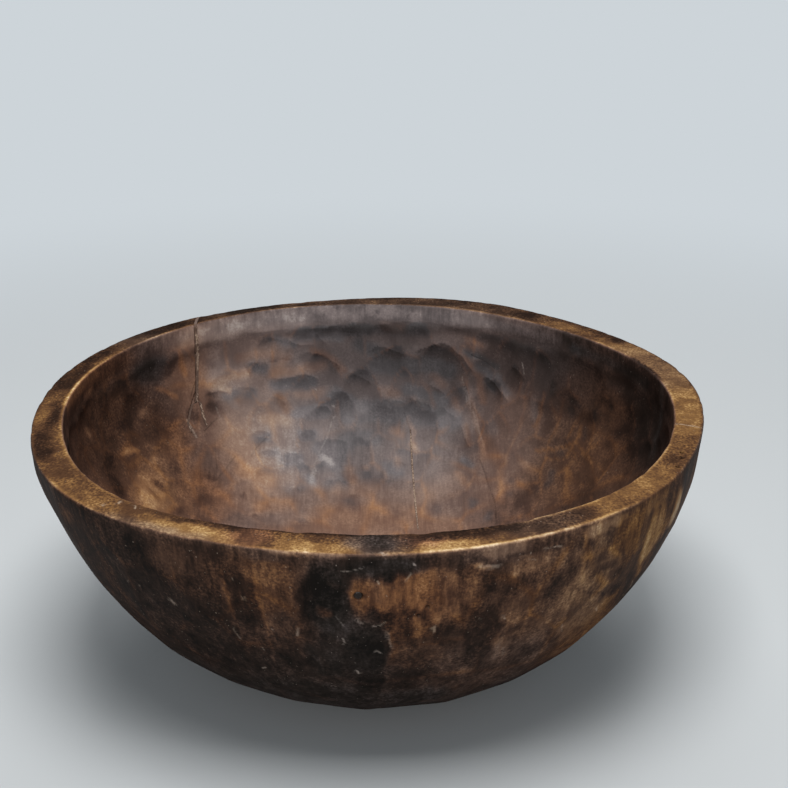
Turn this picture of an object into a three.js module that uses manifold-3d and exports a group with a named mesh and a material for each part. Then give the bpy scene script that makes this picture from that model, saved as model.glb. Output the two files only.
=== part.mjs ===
// A wooden bowl hewn from one block, with its drying cracks filled and a pit in its wall stopped.
// Millimetres, +Z up. The origin is the centre of the flat foot, and the bowl is longest along X.
// The wood's grain runs along Y, so its cracks lie in planes across X.

import * as THREE from "three";
import { mergeVertices } from "three/addons/utils/BufferGeometryUtils.js";
import Module from "manifold-3d";

const wasm = await Module();
wasm.setup();

// Driving dimensions: the whole bowl
const bowlLength = 404.6; // along X, outside, at the rim
const bowlWidth = 388.8; // along Y, outside, at the rim
const bowlHeight = 161;
const footLength = 140; // flat resting face, along X
const footPull = 69; // how far the flat start of the wall carries past the foot
const wallRise = 60; // how far the upright end of the wall carries below the rim
const wallLean = 3; // how far that upright end leans in

// Driving dimensions: the rim and the hollow
const rimWidth = 18.3;
const rimFall = 0.9; // the rim's outer edge lies this much below its inner edge
const floorThickness = 24;
const bandHeight = 14; // planed upright band under the rim, inside
const dishReach = 105; // how far the flat start of the dish carries from its middle
const dishRise = 70; // how far the upright end of the dish carries below the band
const dishLean = 2;

// Hand hewing leaves the plan a little off its ellipse: waves round it, their height, and their turn in degrees
const outerLobes = [
  { waves: 2, height: 1.1, turn: 46 },
  { waves: 3, height: 0.6, turn: -46 },
  { waves: 4, height: 1.0, turn: -44 },
  { waves: 5, height: 1.6, turn: 3 },
  { waves: 6, height: 0.6, turn: 15 },
  { waves: 7, height: 0.7, turn: 14 },
];
const hollowLobes = [
  { waves: 1, height: 1.0, turn: 165 },
  { waves: 2, height: 1.5, turn: -42 },
  { waves: 3, height: 1.5, turn: -17 },
  { waves: 4, height: 1.2, turn: 38 },
  { waves: 5, height: 1.1, turn: 11 },
  { waves: 7, height: 0.5, turn: 15 },
];

// Filled crack at the rear left: it crosses the rim, runs down inside and forks
const fillClearance = 0.3; // glue line round each fill
const crackTurn = 127.3; // degrees round the rim
const crackDepth = 8; // into the wall from the hollow
const crackWidth = 3.4;
const crackDrop = 50; // from the rim down to the fork
const branchDrop = 20; // from the fork down to the ends of the branches
const branchSpread = 6; // how far the branches part from the crack's line
const branchWidth = 1.8;
const crossingWidth = 2; // where the crack crosses the rim
const crossingDrop = 9; // how far the crossing reaches down the outside

// Filled check low on the back of the hollow
const checkOffset = 31; // along X
const checkBelow = 84; // its upper end, below the rim
const checkDrop = 42; // from its upper end to its lower end
const checkSpread = 2; // how far it wanders aside
const checkWidth = 1.8;
const checkDepth = 5;

// The courses of the cracks, each point as its shares of the spread, the drop and the width
const crackCourse = [
  [0.05, -0.1, 0.94],
  [0, 0.44, 1],
  [-0.05, 0.72, 0.65],
  [-0.12, 1.06, 0.76],
];
const leftBranchCourse = [
  [-0.12, -0.2, 1],
  [-0.77, 0.35, 0.9],
  [-0.97, 0.65, 0.9],
  [-0.4, 1.05, 0.67],
];
const rightBranchCourse = [
  [-0.12, -0.2, 1],
  [0.27, 0.2, 1],
  [0.62, 0.6, 1.1],
  [1.07, 0.95, 0.67],
];
const crossingCourse = [
  [0, -1, 1],
  [0, 1, 1],
];
const checkCourse = [
  [-0.5, 0, 0.67],
  [-0.2, 0.48, 1],
  [0.4, 0.81, 0.9],
  [0.9, 1, 0.67],
];

// Stopped pit in the front of the wall
const pitTurn = -92.1; // degrees round the bowl
const pitBelow = 26.3; // below the rim
const pitBore = 5.2;
const pitDepth = 6;
const pitSink = 0.5; // the stopping lies this much below the wood

// How finely the curves are faceted
const turnSteps = 80;
const curveSteps = 16;
const pitSides = 24;

const outerHalf = { x: bowlLength / 2, y: bowlWidth / 2 };
const hollowHalf = { x: outerHalf.x - rimWidth, y: outerHalf.y - rimWidth };
const footHalf = footLength / 2;
const past = 20; // how far a cutter runs past what it cuts

// How far a plan lies from the middle in a direction, as a share of its length along X.
// The ellipse holds at every level, and the lobes grow with their share from the foot to the rim.
function planShare(angle, half, lobes, lobeShare) {
  const flat = half.y / Math.hypot(half.y * Math.cos(angle), half.x * Math.sin(angle));
  let lobe = 0;
  for (const { waves, height, turn } of lobes) {
    lobe += height * Math.cos(waves * (angle - THREE.MathUtils.degToRad(turn)));
  }
  return flat + (lobe * lobeShare) / half.x;
}

// A closed solid from a geometry, and back
function solidOf(geometry) {
  geometry.deleteAttribute("normal");
  geometry.deleteAttribute("uv");
  const merged = mergeVertices(geometry, 1e-4);
  return new wasm.Manifold(
    new wasm.Mesh({
      numProp: 3,
      vertProperties: new Float32Array(merged.attributes.position.array),
      triVerts: new Uint32Array(merged.index.array),
    }),
  );
}

function geometryOf(solid) {
  const { vertProperties, triVerts } = solid.getMesh();
  const geometry = new THREE.BufferGeometry();
  geometry.setAttribute("position", new THREE.BufferAttribute(vertProperties, 3));
  geometry.setIndex(new THREE.BufferAttribute(triVerts, 1));
  geometry.computeVertexNormals();
  return geometry;
}

// A profile turned round the Z axis and then pressed out to a plan.
// The lobes fade to nothing at the radius where they start.
function turned(profile, half, lobes, lobeStart) {
  const geometry = new THREE.LatheGeometry(profile.getPoints(curveSteps), turnSteps);
  geometry.rotateX(Math.PI / 2);
  const place = geometry.attributes.position;
  for (let i = 0; i < place.count; i += 1) {
    const x = place.getX(i);
    const y = place.getY(i);
    const lobeShare = THREE.MathUtils.clamp((Math.hypot(x, y) - lobeStart) / (half.x - lobeStart), 0, 1);
    const share = planShare(Math.atan2(y, x), half, lobes, lobeShare);
    place.setXY(i, x * share, y * share);
  }
  return solidOf(geometry);
}

// The hewn outside as a solid lump, grown by a skin all over
function outerForm(skin) {
  const rimLevel = bowlHeight - rimFall;
  const rimSlope = rimFall / rimWidth;
  const profile = new THREE.Path();
  profile.moveTo(0, -skin);
  profile.lineTo(footHalf + skin, -skin);
  profile.bezierCurveTo(
    footHalf + footPull + skin,
    -skin,
    outerHalf.x - wallLean + skin,
    rimLevel - wallRise,
    outerHalf.x + skin,
    rimLevel,
  );
  profile.lineTo(0, rimLevel + rimSlope * (outerHalf.x + skin));
  return turned(profile, outerHalf, outerLobes, footHalf);
}

// The hollow as a solid lump that runs past the rim, grown by a skin all over
function hollowForm(skin) {
  const bandLevel = bowlHeight - bandHeight;
  const profile = new THREE.Path();
  profile.moveTo(0, floorThickness - skin);
  profile.bezierCurveTo(
    dishReach + skin,
    floorThickness - skin,
    hollowHalf.x - dishLean + skin,
    bandLevel - dishRise,
    hollowHalf.x + skin,
    bandLevel,
  );
  profile.lineTo(hollowHalf.x + skin, bowlHeight + past);
  profile.lineTo(0, bowlHeight + past);
  return turned(profile, hollowHalf, hollowLobes, 0);
}

// A crack's outline, seen from the front, carried along the grain from the middle of the bowl to past its back.
// Its course starts at a place on X and a level below the rim; trim narrows it and draws in its end.
function crackBlade(course, size, trim) {
  const side = (sign) => course.map(([aside, down, wide], index) => {
    const end = index === course.length - 1 ? trim : 0;
    const across = size.offset + aside * size.spread + sign * ((wide * size.width) / 2 - trim);
    return new THREE.Vector2(across, bowlHeight - size.below - down * size.drop + end);
  });
  const shape = new THREE.Shape([...side(-1), ...side(1).reverse()]);
  const reach = bowlWidth / 2 + past;
  const geometry = new THREE.ExtrudeGeometry(shape, { depth: reach, bevelEnabled: false });
  geometry.rotateX(Math.PI / 2);
  geometry.translate(0, reach, 0);
  return solidOf(geometry);
}

// The rear-left crack: its run and branches in the skin of the hollow, and its crossing through the whole rim
function rearLeftCrack(trim) {
  const turn = THREE.MathUtils.degToRad(crackTurn);
  const offset = outerHalf.x * planShare(turn, outerHalf, outerLobes, 1) * Math.cos(turn);
  const spread = branchSpread;
  const run = { offset, spread, below: 0, drop: crackDrop, width: crackWidth };
  const branch = { offset, spread, below: crackDrop, drop: branchDrop, width: branchWidth };
  const crossing = { offset, spread, below: 0, drop: crossingDrop, width: crossingWidth };
  return crackBlade(crackCourse, run, trim)
    .add(crackBlade(leftBranchCourse, branch, trim))
    .add(crackBlade(rightBranchCourse, branch, trim))
    .intersect(hollowForm(crackDepth - trim))
    .add(crackBlade(crossingCourse, crossing, trim));
}

function backWallCheck(trim) {
  const check = {
    offset: checkOffset,
    spread: checkSpread,
    below: checkBelow,
    drop: checkDrop,
    width: checkWidth,
  };
  return crackBlade(checkCourse, check, trim).intersect(hollowForm(checkDepth - trim));
}

// A round bore in from the outside, square to Z, down to a depth under the outer skin
function frontPit(trim) {
  const radius = pitBore / 2 - trim;
  const reach = outerHalf.x + past;
  const geometry = new THREE.CylinderGeometry(radius, radius, reach, pitSides);
  geometry.rotateZ(-Math.PI / 2);
  geometry.translate(reach / 2, 0, bowlHeight - pitBelow);
  geometry.rotateZ(THREE.MathUtils.degToRad(pitTurn));
  return solidOf(geometry).subtract(outerForm(trim - pitDepth));
}

// The pieces
const wood = outerForm(0).subtract(hollowForm(0));
const bowlBody = wood.subtract(rearLeftCrack(0)).subtract(backWallCheck(0)).subtract(frontPit(0));
const rearLeftCrackFiller = rearLeftCrack(fillClearance).intersect(wood);
const backWallCheckFiller = backWallCheck(fillClearance).intersect(wood);
const frontPitStopping = frontPit(fillClearance).intersect(outerForm(-pitSink));

function piece(name, solid, colour, roughness) {
  const material = new THREE.MeshStandardMaterial({ color: colour, roughness, metalness: 0 });
  const mesh = new THREE.Mesh(geometryOf(solid), material);
  mesh.name = name;
  return mesh;
}

const bowl = new THREE.Group();
bowl.add(
  piece("bowl_body", bowlBody, "#4b3324", 0.45),
  piece("rear_left_crack_filler", rearLeftCrackFiller, "#9c7f66", 0.8),
  piece("back_wall_check_filler", backWallCheckFiller, "#8d7461", 0.75),
  piece("front_pit_stopping", frontPitStopping, "#1d1916", 0.25),
);

export default bowl;
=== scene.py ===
import math

import bmesh
import bpy
import numpy as np
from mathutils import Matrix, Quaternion, Vector, kdtree, noise
from mathutils.bvhtree import BVHTree


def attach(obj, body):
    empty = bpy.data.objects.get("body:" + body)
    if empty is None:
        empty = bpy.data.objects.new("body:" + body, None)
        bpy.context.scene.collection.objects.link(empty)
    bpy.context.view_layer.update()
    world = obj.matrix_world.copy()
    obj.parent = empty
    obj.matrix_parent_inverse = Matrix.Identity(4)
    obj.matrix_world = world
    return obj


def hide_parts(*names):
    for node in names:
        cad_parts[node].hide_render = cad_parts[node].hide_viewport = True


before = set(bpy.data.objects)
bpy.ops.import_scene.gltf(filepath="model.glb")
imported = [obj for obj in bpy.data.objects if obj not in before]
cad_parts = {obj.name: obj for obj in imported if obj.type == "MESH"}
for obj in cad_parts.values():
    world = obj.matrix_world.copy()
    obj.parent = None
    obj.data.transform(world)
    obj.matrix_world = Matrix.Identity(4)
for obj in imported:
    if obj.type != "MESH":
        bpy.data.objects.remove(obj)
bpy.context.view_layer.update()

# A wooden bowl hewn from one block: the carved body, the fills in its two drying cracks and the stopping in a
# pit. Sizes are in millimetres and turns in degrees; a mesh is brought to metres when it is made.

MM = 0.001

# Sizes of the bowl, the same as in the solids
OUTER_HALF = (202.3, 194.4)
HOLLOW_HALF = (184.0, 176.1)
BOWL_HEIGHT = 161.0
FOOT_HALF = 70.0
FOOT_PULL = 69.0
WALL_RISE = 60.0
WALL_LEAN = 3.0
RIM_WIDTH = 18.3
RIM_FALL = 0.9
FLOOR_THICKNESS = 24.0
BAND_HEIGHT = 14.0
DISH_REACH = 105.0
DISH_RISE = 70.0
DISH_LEAN = 2.0
RIM_LEVEL = BOWL_HEIGHT - RIM_FALL
BAND_LEVEL = BOWL_HEIGHT - BAND_HEIGHT

# Waves that hand hewing leaves round the plan: count, height and turn
OUTER_LOBES = ((2, 1.1, 46), (3, 0.6, -46), (4, 1.0, -44), (5, 1.6, 3), (6, 0.6, 15), (7, 0.7, 14))
HOLLOW_LOBES = ((1, 1.0, 165), (2, 1.5, -42), (3, 1.5, -17), (4, 1.2, 38), (5, 1.1, 11), (7, 0.5, 15))

# Worn edges of the rim
INNER_ROUND = 1.4
OUTER_ROUND = 1.2

# Cracks and pit: the courses are those of the solids, and the crack fills show a little narrower than there.
# A course's points are shares of the spread aside, of the drop and of the width.
CRACK_TURN = 127.3
CRACK_DROP = 50.0
CRACK_WIDTH = 2.8
BRANCH_DROP = 20.0
BRANCH_SPREAD = 6.0
BRANCH_WIDTH = 1.5
CROSSING_WIDTH = 2.0
CROSSING_DROP = 9.0
CRACK_COURSE = ((0.05, -0.1, 0.94), (0, 0.44, 1), (-0.05, 0.72, 0.65), (-0.12, 1.06, 0.76))
LEFT_COURSE = ((-0.12, -0.2, 1), (-0.77, 0.35, 0.9), (-0.97, 0.65, 0.9), (-0.4, 1.05, 0.67))
RIGHT_COURSE = ((-0.12, -0.2, 1), (0.27, 0.2, 1), (0.62, 0.6, 1.1), (1.07, 0.95, 0.67))
CHECK_OFFSET = 31.0
CHECK_BELOW = 84.0
CHECK_DROP = 42.0
CHECK_SPREAD = 2.0
CHECK_WIDTH = 1.5
CHECK_COURSE = ((-0.5, 0, 0.67), (-0.2, 0.48, 1), (0.4, 0.81, 0.9), (0.9, 1, 0.67))
PIT_TURN = -92.1
PIT_BELOW = 26.3
PIT_BORE = 5.2
FILL_CLEARANCE = 0.3
FILL_PROUD = 0.15
GROOVE_MARGIN = -0.35  # the groove ends just within the fill's edge, and shows where the fill has crumbled
GROOVE_DEPTH = 1.6
FORK_LEVEL = BOWL_HEIGHT - CRACK_DROP
CROSSING_LEVEL = BOWL_HEIGHT - CROSSING_DROP

# How finely the body is meshed: steps round it, which are doubled on the rim, in the hollow down to an arc
# except at these plain turns, and on the wall down to an arc at these fine turns
TURN_STEPS = 272
FINE_HOLLOW = 160.0
FINE_WALL = 135.0
PLAIN_TURNS = (-145, -35)
FINE_TURNS = (-165, -15)
MERGE_REACH = 0.0005  # vertices closer than this are made one

BACK = 90.0  # the turn of the bowl's back

rng = np.random.default_rng(7)


# Places on the bowl

def plan_share(turn, half, lobes, lobe_share):
    """How far a plan lies from the middle at a turn, as a share of its half length."""
    angle = np.radians(turn)
    flat = half[1] / np.hypot(half[1] * np.cos(angle), half[0] * np.sin(angle))
    lobe = sum(height * np.cos(count * (angle - math.radians(at))) for count, height, at in lobes)
    return flat + lobe * lobe_share / half[0]


def hollow_radius(turn, radius):
    return radius * plan_share(turn, HOLLOW_HALF, HOLLOW_LOBES, np.clip(radius / HOLLOW_HALF[0], 0, 1))


def outer_radius(turn, radius):
    lobe_share = np.clip((radius - FOOT_HALF) / (OUTER_HALF[0] - FOOT_HALF), 0, 1)
    return radius * plan_share(turn, OUTER_HALF, OUTER_LOBES, lobe_share)


def bezier(points, count=500):
    share = np.linspace(0, 1, count)[:, None]
    start, pull, push, end = (np.array(point, float) for point in points)
    rest = 1 - share
    return rest ** 3 * start + 3 * rest ** 2 * share * pull + 3 * rest * share ** 2 * push + share ** 3 * end


def rounded(centre, radius, start, end):
    angle = np.radians(np.linspace(start, end, 40))
    return np.stack([centre[0] + radius * np.cos(angle), centre[1] + radius * np.sin(angle)], 1)


def arc_length(line):
    return np.concatenate([[0], np.cumsum(np.hypot(*np.diff(line, axis=0).T))])


def spaced(line, step):
    """The same line with points about a step apart."""
    length = arc_length(line)
    places = np.linspace(0, length[-1], max(2, round(length[-1] / step) + 1))
    return np.stack([np.interp(places, length, line[:, k]) for k in (0, 1)], 1)


def wall_section():
    """Half section of the bowl from the middle of the hollow over the rim to the middle of the foot."""
    hollow = bezier((
        (0, FLOOR_THICKNESS),
        (DISH_REACH, FLOOR_THICKNESS),
        (HOLLOW_HALF[0] - DISH_LEAN, BAND_LEVEL - DISH_RISE),
        (HOLLOW_HALF[0], BAND_LEVEL),
    ))
    wall = bezier((
        (OUTER_HALF[0], RIM_LEVEL),
        (OUTER_HALF[0] - WALL_LEAN, RIM_LEVEL - WALL_RISE),
        (FOOT_HALF + FOOT_PULL, 0),
        (FOOT_HALF, 0),
    ))
    wall = wall[wall[:, 1] < RIM_LEVEL - OUTER_ROUND]
    inner_edge = rounded((HOLLOW_HALF[0] + INNER_ROUND, BOWL_HEIGHT - INNER_ROUND), INNER_ROUND, 180, 90)
    outer_edge = rounded((OUTER_HALF[0] - OUTER_ROUND, RIM_LEVEL - OUTER_ROUND), OUTER_ROUND, 90, 0)
    floor_end = len(hollow) // 2
    wall_end = len(wall) * 3 // 5
    # Each run of the section, with the step of its mesh
    runs = (
        (hollow[:floor_end + 1], 4.0),
        (hollow[floor_end:], 2.2),
        (np.array([hollow[-1], inner_edge[0]]), 1.8),
        (inner_edge, 0.6),
        (np.array([inner_edge[-1], outer_edge[0]]), 1.5),
        (outer_edge, 0.6),
        (np.vstack([outer_edge[-1:], wall[:wall_end + 1]]), 2.4),
        (wall[wall_end:], 4.0),
        (np.array([wall[-1], (0, 0)]), 8.0),
    )
    points, ends = [], []
    for line, step in runs:
        line = spaced(line, step)
        points.append(line if not points else line[1:])
        ends.append(sum(len(part) for part in points) - 1)
    return np.vstack(points), ends


SECTION, SECTION_ENDS = wall_section()
SECTION_ALONG = arc_length(SECTION)
INNER_START = SECTION_ALONG[SECTION_ENDS[2]]
OUTER_END = SECTION_ALONG[SECTION_ENDS[5]]
INNER_CORNER = INNER_START + INNER_ROUND
OUTER_CORNER = OUTER_END - OUTER_ROUND


def pressed(turn, radius, along):
    """A section's radius pressed out to the plan of the hollow, the rim or the outside."""
    across = np.clip((radius - HOLLOW_HALF[0]) / RIM_WIDTH, 0, 1)
    rim = (1 - across) * hollow_radius(turn, HOLLOW_HALF[0]) + across * outer_radius(turn, OUTER_HALF[0])
    wall = np.where(along < INNER_START, hollow_radius(turn, radius), outer_radius(turn, radius))
    return np.where((along >= INNER_START) & (along <= OUTER_END), rim, wall)


def place(turn, along):
    """The point of the plain bowl at a turn and a length along its section."""
    turn, along = np.broadcast_arrays(np.asarray(turn, float), np.asarray(along, float))
    radius = np.interp(along, SECTION_ALONG, SECTION[:, 0])
    level = np.interp(along, SECTION_ALONG, SECTION[:, 1])
    far = pressed(turn, radius, along)
    return np.stack([far * np.cos(np.radians(turn)), far * np.sin(np.radians(turn)), level], -1)


def in_hollow(turn, arc):
    """The point of the hollow at a turn and an arc down from the rim."""
    return place(turn, INNER_CORNER - np.asarray(arc, float))


def on_wall(turn, arc):
    """The point of the outside at a turn and an arc down from the rim."""
    return place(turn, OUTER_CORNER + np.asarray(arc, float))


def on_rim(turn, share):
    """The point of the rim at a turn and a share of its width out from the hollow."""
    return place(turn, INNER_CORNER + np.asarray(share, float) * (OUTER_CORNER - INNER_CORNER))


def across_rim(turn, arc):
    """The point of the rim at a turn and an arc out from the hollow."""
    return on_rim(turn, np.asarray(arc, float) / RIM_WIDTH)


CRACK_X = float(outer_radius(CRACK_TURN, OUTER_HALF[0]) * math.cos(math.radians(CRACK_TURN)))


def course(points, offset, spread, below, drop, width):
    """A crack's course as places across, levels and widths, from its shares."""
    return np.array([(offset + aside * spread, BOWL_HEIGHT - below - down * drop, wide * width)
                     for aside, down, wide in points])


CRACK_RUN = course(CRACK_COURSE, CRACK_X, BRANCH_SPREAD, 0, CRACK_DROP, CRACK_WIDTH)
LEFT_BRANCH = course(LEFT_COURSE, CRACK_X, BRANCH_SPREAD, CRACK_DROP, BRANCH_DROP, BRANCH_WIDTH)
RIGHT_BRANCH = course(RIGHT_COURSE, CRACK_X, BRANCH_SPREAD, CRACK_DROP, BRANCH_DROP, BRANCH_WIDTH)
CHECK_RUN = course(CHECK_COURSE, CHECK_OFFSET, CHECK_SPREAD, CHECK_BELOW, CHECK_DROP, CHECK_WIDTH)


def at_level(run, level):
    """Where a crack lies across, and how wide it is, at a level."""
    order = np.argsort(run[:, 1])
    return (np.interp(level, run[order, 1], run[order, 0]), np.interp(level, run[order, 1], run[order, 2]))


# Pits, of which the last holds the stopping: places, radius, depth, darkness and how steep their sides are
PITS = (
    (on_rim((-24.6, -26.7, -30.3), (0.6, 0.72, 0.8)), 1.2, 1.5, 1.0, 4),
    (on_wall((-81.5, -83.0), (36.0, 42.0)), 1.3, 1.2, 0.8, 4),
    (on_wall((PIT_TURN,), (PIT_BELOW,)), 2.5, 2.0, 1.0, 6),
)
PIT_DARKENING_STEEPNESS = 4  # of the darkening painted in every pit


def noise_at(points, size, seed):
    """Soft noise of about -1 to 1 with features of a size."""
    shift = Vector((seed * 3.17, seed * 5.71, seed * 1.93))
    return np.array([noise.noise(Vector(point) / size + shift) for point in points])


def smooth(value, start, end):
    share = np.clip((value - start) / (end - start), 0, 1)
    return share * share * (3 - 2 * share)


# The body

def spin_round(bm, verts, steps):
    """Joins the vertices of a half section and spins it round into a shell."""
    for first, second in zip(verts, verts[1:]):
        bm.edges.new((first, second))
    bmesh.ops.spin(
        bm,
        geom=bm.verts[:] + bm.edges[:],
        cent=(0, 0, 0),
        axis=(0, 0, 1),
        angle=math.tau,
        steps=steps,
        use_merge=True,
    )
    bmesh.ops.remove_doubles(bm, verts=bm.verts[:], dist=MERGE_REACH)


def spun_body():
    """The section spun round, with each vertex's length along it kept in a layer."""
    bm = bmesh.new()
    layer = bm.verts.layers.float.new("along")
    verts = []
    for (radius, level), along in zip(SECTION, SECTION_ALONG):
        vert = bm.verts.new((radius, 0, level))
        vert[layer] = along
        verts.append(vert)
    spin_round(bm, verts, TURN_STEPS)
    rings = [edge for edge in bm.edges if is_ring(edge, layer) and is_fine(edge, layer)]
    bmesh.ops.subdivide_edges(bm, edges=rings, cuts=1, use_grid_fill=True)
    bmesh.ops.recalc_face_normals(bm, faces=bm.faces[:])
    x, y = np.array([vert.co[:2] for vert in bm.verts]).T
    along = np.array([vert[layer] for vert in bm.verts])
    move_to(bm, place(np.degrees(np.arctan2(y, x)), along))
    return bm


def is_ring(edge, layer):
    """Whether an edge runs round the bowl."""
    return abs(edge.verts[0][layer] - edge.verts[1][layer]) < 0.001


def is_fine(edge, layer):
    """Whether an edge lies where the body is meshed finely."""
    along = edge.verts[0][layer]
    if INNER_START <= along <= OUTER_END:
        return True
    x, y, _ = (edge.verts[0].co + edge.verts[1].co) / 2
    turn = math.degrees(math.atan2(y, x))
    if along < INNER_START:
        return along > INNER_CORNER - FINE_HOLLOW and not PLAIN_TURNS[0] < turn < PLAIN_TURNS[1]
    return along < OUTER_CORNER + FINE_WALL and FINE_TURNS[0] < turn < FINE_TURNS[1]


def move_to(bm, points):
    for vert, point in zip(bm.verts, points):
        vert.co = point


def tree_of(points):
    """A tree that finds the nearest of some points."""
    tree = kdtree.KDTree(len(points))
    for index, point in enumerate(points):
        tree.insert(point, index)
    tree.balance()
    return tree


def near_line(points, line):
    """Distance from each point to the nearest of a line's points."""
    tree = tree_of(line)
    return np.array([tree.find(point)[2] for point in points])


def refine(bm, points, reach, cuts):
    """Cuts the faces near some points into finer ones."""
    tree = tree_of(points)
    near = [face for face in bm.faces if tree.find(face.calc_center_median())[2] < reach]
    edges = dict.fromkeys(edge for face in near for edge in face.edges)
    bmesh.ops.subdivide_edges(bm, edges=list(edges), cuts=cuts, use_grid_fill=True)


def crack_points():
    """Points along both filled cracks, for the finer mesh there."""
    points = []
    for level in np.linspace(BOWL_HEIGHT - 1, LEFT_BRANCH[-1, 1], 60):
        for run in (CRACK_RUN, LEFT_BRANCH, RIGHT_BRANCH):
            if run[-1, 1] - 1 <= level <= run[0, 1] + 6:
                points.append(back_point(at_level(run, level)[0], level))
    for level in np.linspace(CHECK_RUN[0, 1], CHECK_RUN[-1, 1], 40):
        points.append(back_point(at_level(CHECK_RUN, level)[0], level))
    for share in np.linspace(0, 1, 12):
        points.append(on_rim(CRACK_TURN, share))
    for arc in np.linspace(0, CROSSING_DROP, 6):
        points.append(on_wall(CRACK_TURN, arc))
    return points


def back_point(across, level):
    """The point of the plain hollow's back at a place across and a level."""
    arcs = np.linspace(0, 175, 500)
    levels = in_hollow(BACK, arcs)[:, 2]
    arc = float(np.interp(-level, -levels, arcs))
    turn = BACK
    for _ in range(6):
        far = np.hypot(*in_hollow(turn, arc)[:2])
        turn = math.degrees(math.acos(across / far))
    return in_hollow(turn, arc)


# Tool cuts

# How softly two cuts meet, and the difference of depth within which their crest is worn
CUT_SOFTNESS = 0.10
CREST_GAP = 0.22

# Depth where no cut reaches, and how many times its longest half a cut is worked out to
UNCUT_DEPTH = -2.0
CUT_REACH = 2.4

# Depth of the shallowest cut, the mean depth that is given back so that the wall keeps its surface, and how
# much deeper the gouge cuts are than listed
SHALLOWEST_CUT = -0.3
MEAN_CUT = 0.55
GOUGE_GAIN = 1.45

# Arcs over which the smooth band below the rim gives way to gouge cuts, and the wall to the foot
BAND_END = (13, 18)
FOOT_START = (205, 228)

# How far the lower part of the wall stands to the right, and over which arcs it comes to do so
WALL_SHIFT = 2.6
SHIFT_ARCS = (10, 90)

# How much the wall swells at the right and narrows at the left, with the arc and the reach of the swelling
WALL_SWELL = 1.3
SWELL_ARC = 30
SWELL_REACH = 20

# Nicks in the rim's edges: their reach, and their depth at the inner and the outer edge
NICK_REACH = 3.2
INNER_NICK = 0.8
OUTER_NICK = 0.7

# Bold gouge cuts at the back of the hollow: turn, arc, half width, reach above and below, depth
BOLD_GOUGE_CUTS = (
    (72, 43, 20, 15, 34, 2.4),
    (85, 44, 13, 13, 24, 2.0),
    (58.5, 58, 10.5, 11, 22, 1.9),
    (91.5, 62, 13, 12, 22, 1.8),
    (101.5, 48, 15, 14, 26, 2.0),
    (97, 29, 18, 12, 24, 1.8),
    (106, 31, 12, 11, 20, 1.5),
    (81.5, 57, 12, 12, 22, 1.7),
    (53, 44, 9, 12, 20, 1.6),
    (61.5, 44, 10, 12, 18, 1.5),
    (46, 33, 12, 13, 24, 1.8),
    (66.5, 31, 8, 9, 16, 1.4),
    (87, 28, 10, 12, 16, 1.3),
    (76, 88, 14, 13, 26, 1.6),
    (96, 78, 10, 12, 18, 1.5),
    (105, 86, 9, 11, 18, 1.3),
    (120, 100, 9, 11, 18, 1.4),
    (107.5, 103, 9, 11, 18, 1.3),
    (116.5, 48, 10, 12, 20, 1.4),
    (106.5, 62, 14, 12, 22, 1.4),
    (114, 30, 10, 10, 18, 1.2),
    (78, 28, 9, 10, 14, 1.2),
    (68, 66, 11, 14, 28, 1.5),
    (56, 30, 9, 11, 18, 1.4),
    (84, 86, 11, 11, 20, 1.3),
    (93, 110, 12, 12, 22, 1.3),
)

# Rows of gouge cuts: arc, depth and half width
GOUGE_ROWS = (
    (28, 1.3, 14), (46, 1.3, 14), (64, 1.2, 14), (83, 1.1, 14), (103, 1.0, 15), (124, 0.9, 16),
    (147, 0.8, 17), (171, 0.75, 18), (196, 0.7, 19), (222, 0.6, 20),
)

# A row's gouge cuts: spacing in half widths, and reach above and below
GOUGE_SPACING = 1.9
GOUGE_ABOVE = 12
GOUGE_BELOW = 25

# Hewn flats: the arcs of their rows, spacing, and reach above and below
FLAT_ROWS = (10, 46, 84, 122, 160, 198)
FLAT_SPACING = 44
FLAT_ABOVE = 30
FLAT_BELOW = 34


def cut_frame(point_of, turn, arc):
    """A place on the wall with the directions round it, down it and out of it."""
    centre = point_of(turn, arc)
    side = point_of(turn + 0.5, arc) - centre
    down = point_of(turn, arc + 1.0) - centre
    side = side / np.linalg.norm(side)
    down = down / np.linalg.norm(down)
    return centre, side, down, np.cross(side, down)


def tool_cuts(points, point_of, cuts):
    """Overlapping cuts, each a shallow bowl that is steeper at its upper end. Gives their depth at each
    point, how near a crest between two cuts it is, and how high it lies in its own cut."""
    best = np.full(len(points), UNCUT_DEPTH)
    second = np.full(len(points), UNCUT_DEPTH)
    high = np.zeros(len(points))
    for turn, arc, half_width, above, below, depth, dark in cuts:
        centre, side, down, out = cut_frame(point_of, turn, arc)
        offset = points - centre
        near = np.nonzero(np.abs(offset).max(1) < CUT_REACH * max(half_width, above, below))[0]
        offset = offset[near]
        lengthwise = (offset @ down) / np.where(offset @ down < 0, above, below)
        shape = ((offset @ side) / half_width) ** 2 + lengthwise ** 2 + ((offset @ out) / half_width) ** 2
        cut = depth * (1 - shape)
        first = cut > best[near]
        second[near] = np.where(first, best[near], np.maximum(second[near], cut))
        # How high a point lies in its cut, weighted by how strongly that cut's upper end is painted in shade
        high[near] = np.where(first, -lengthwise * dark, high[near])
        best[near] = np.maximum(best[near], cut)
    gap = best - second
    depth = best + CUT_SOFTNESS * np.log1p(np.exp(-gap / CUT_SOFTNESS))
    return depth, np.exp(-(gap / CREST_GAP) ** 2), high


def wrapped(turn):
    """A turn brought to between -180 and 180 degrees."""
    return (turn + 180) % 360 - 180


def turns_of_row(count, scatter):
    """Turns spaced round a row of cuts, each a little off its place."""
    start = rng.uniform(0, 360)
    for step in range(count):
        yield wrapped(start + 360 * (step + rng.uniform(-scatter, scatter)) / count)


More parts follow.
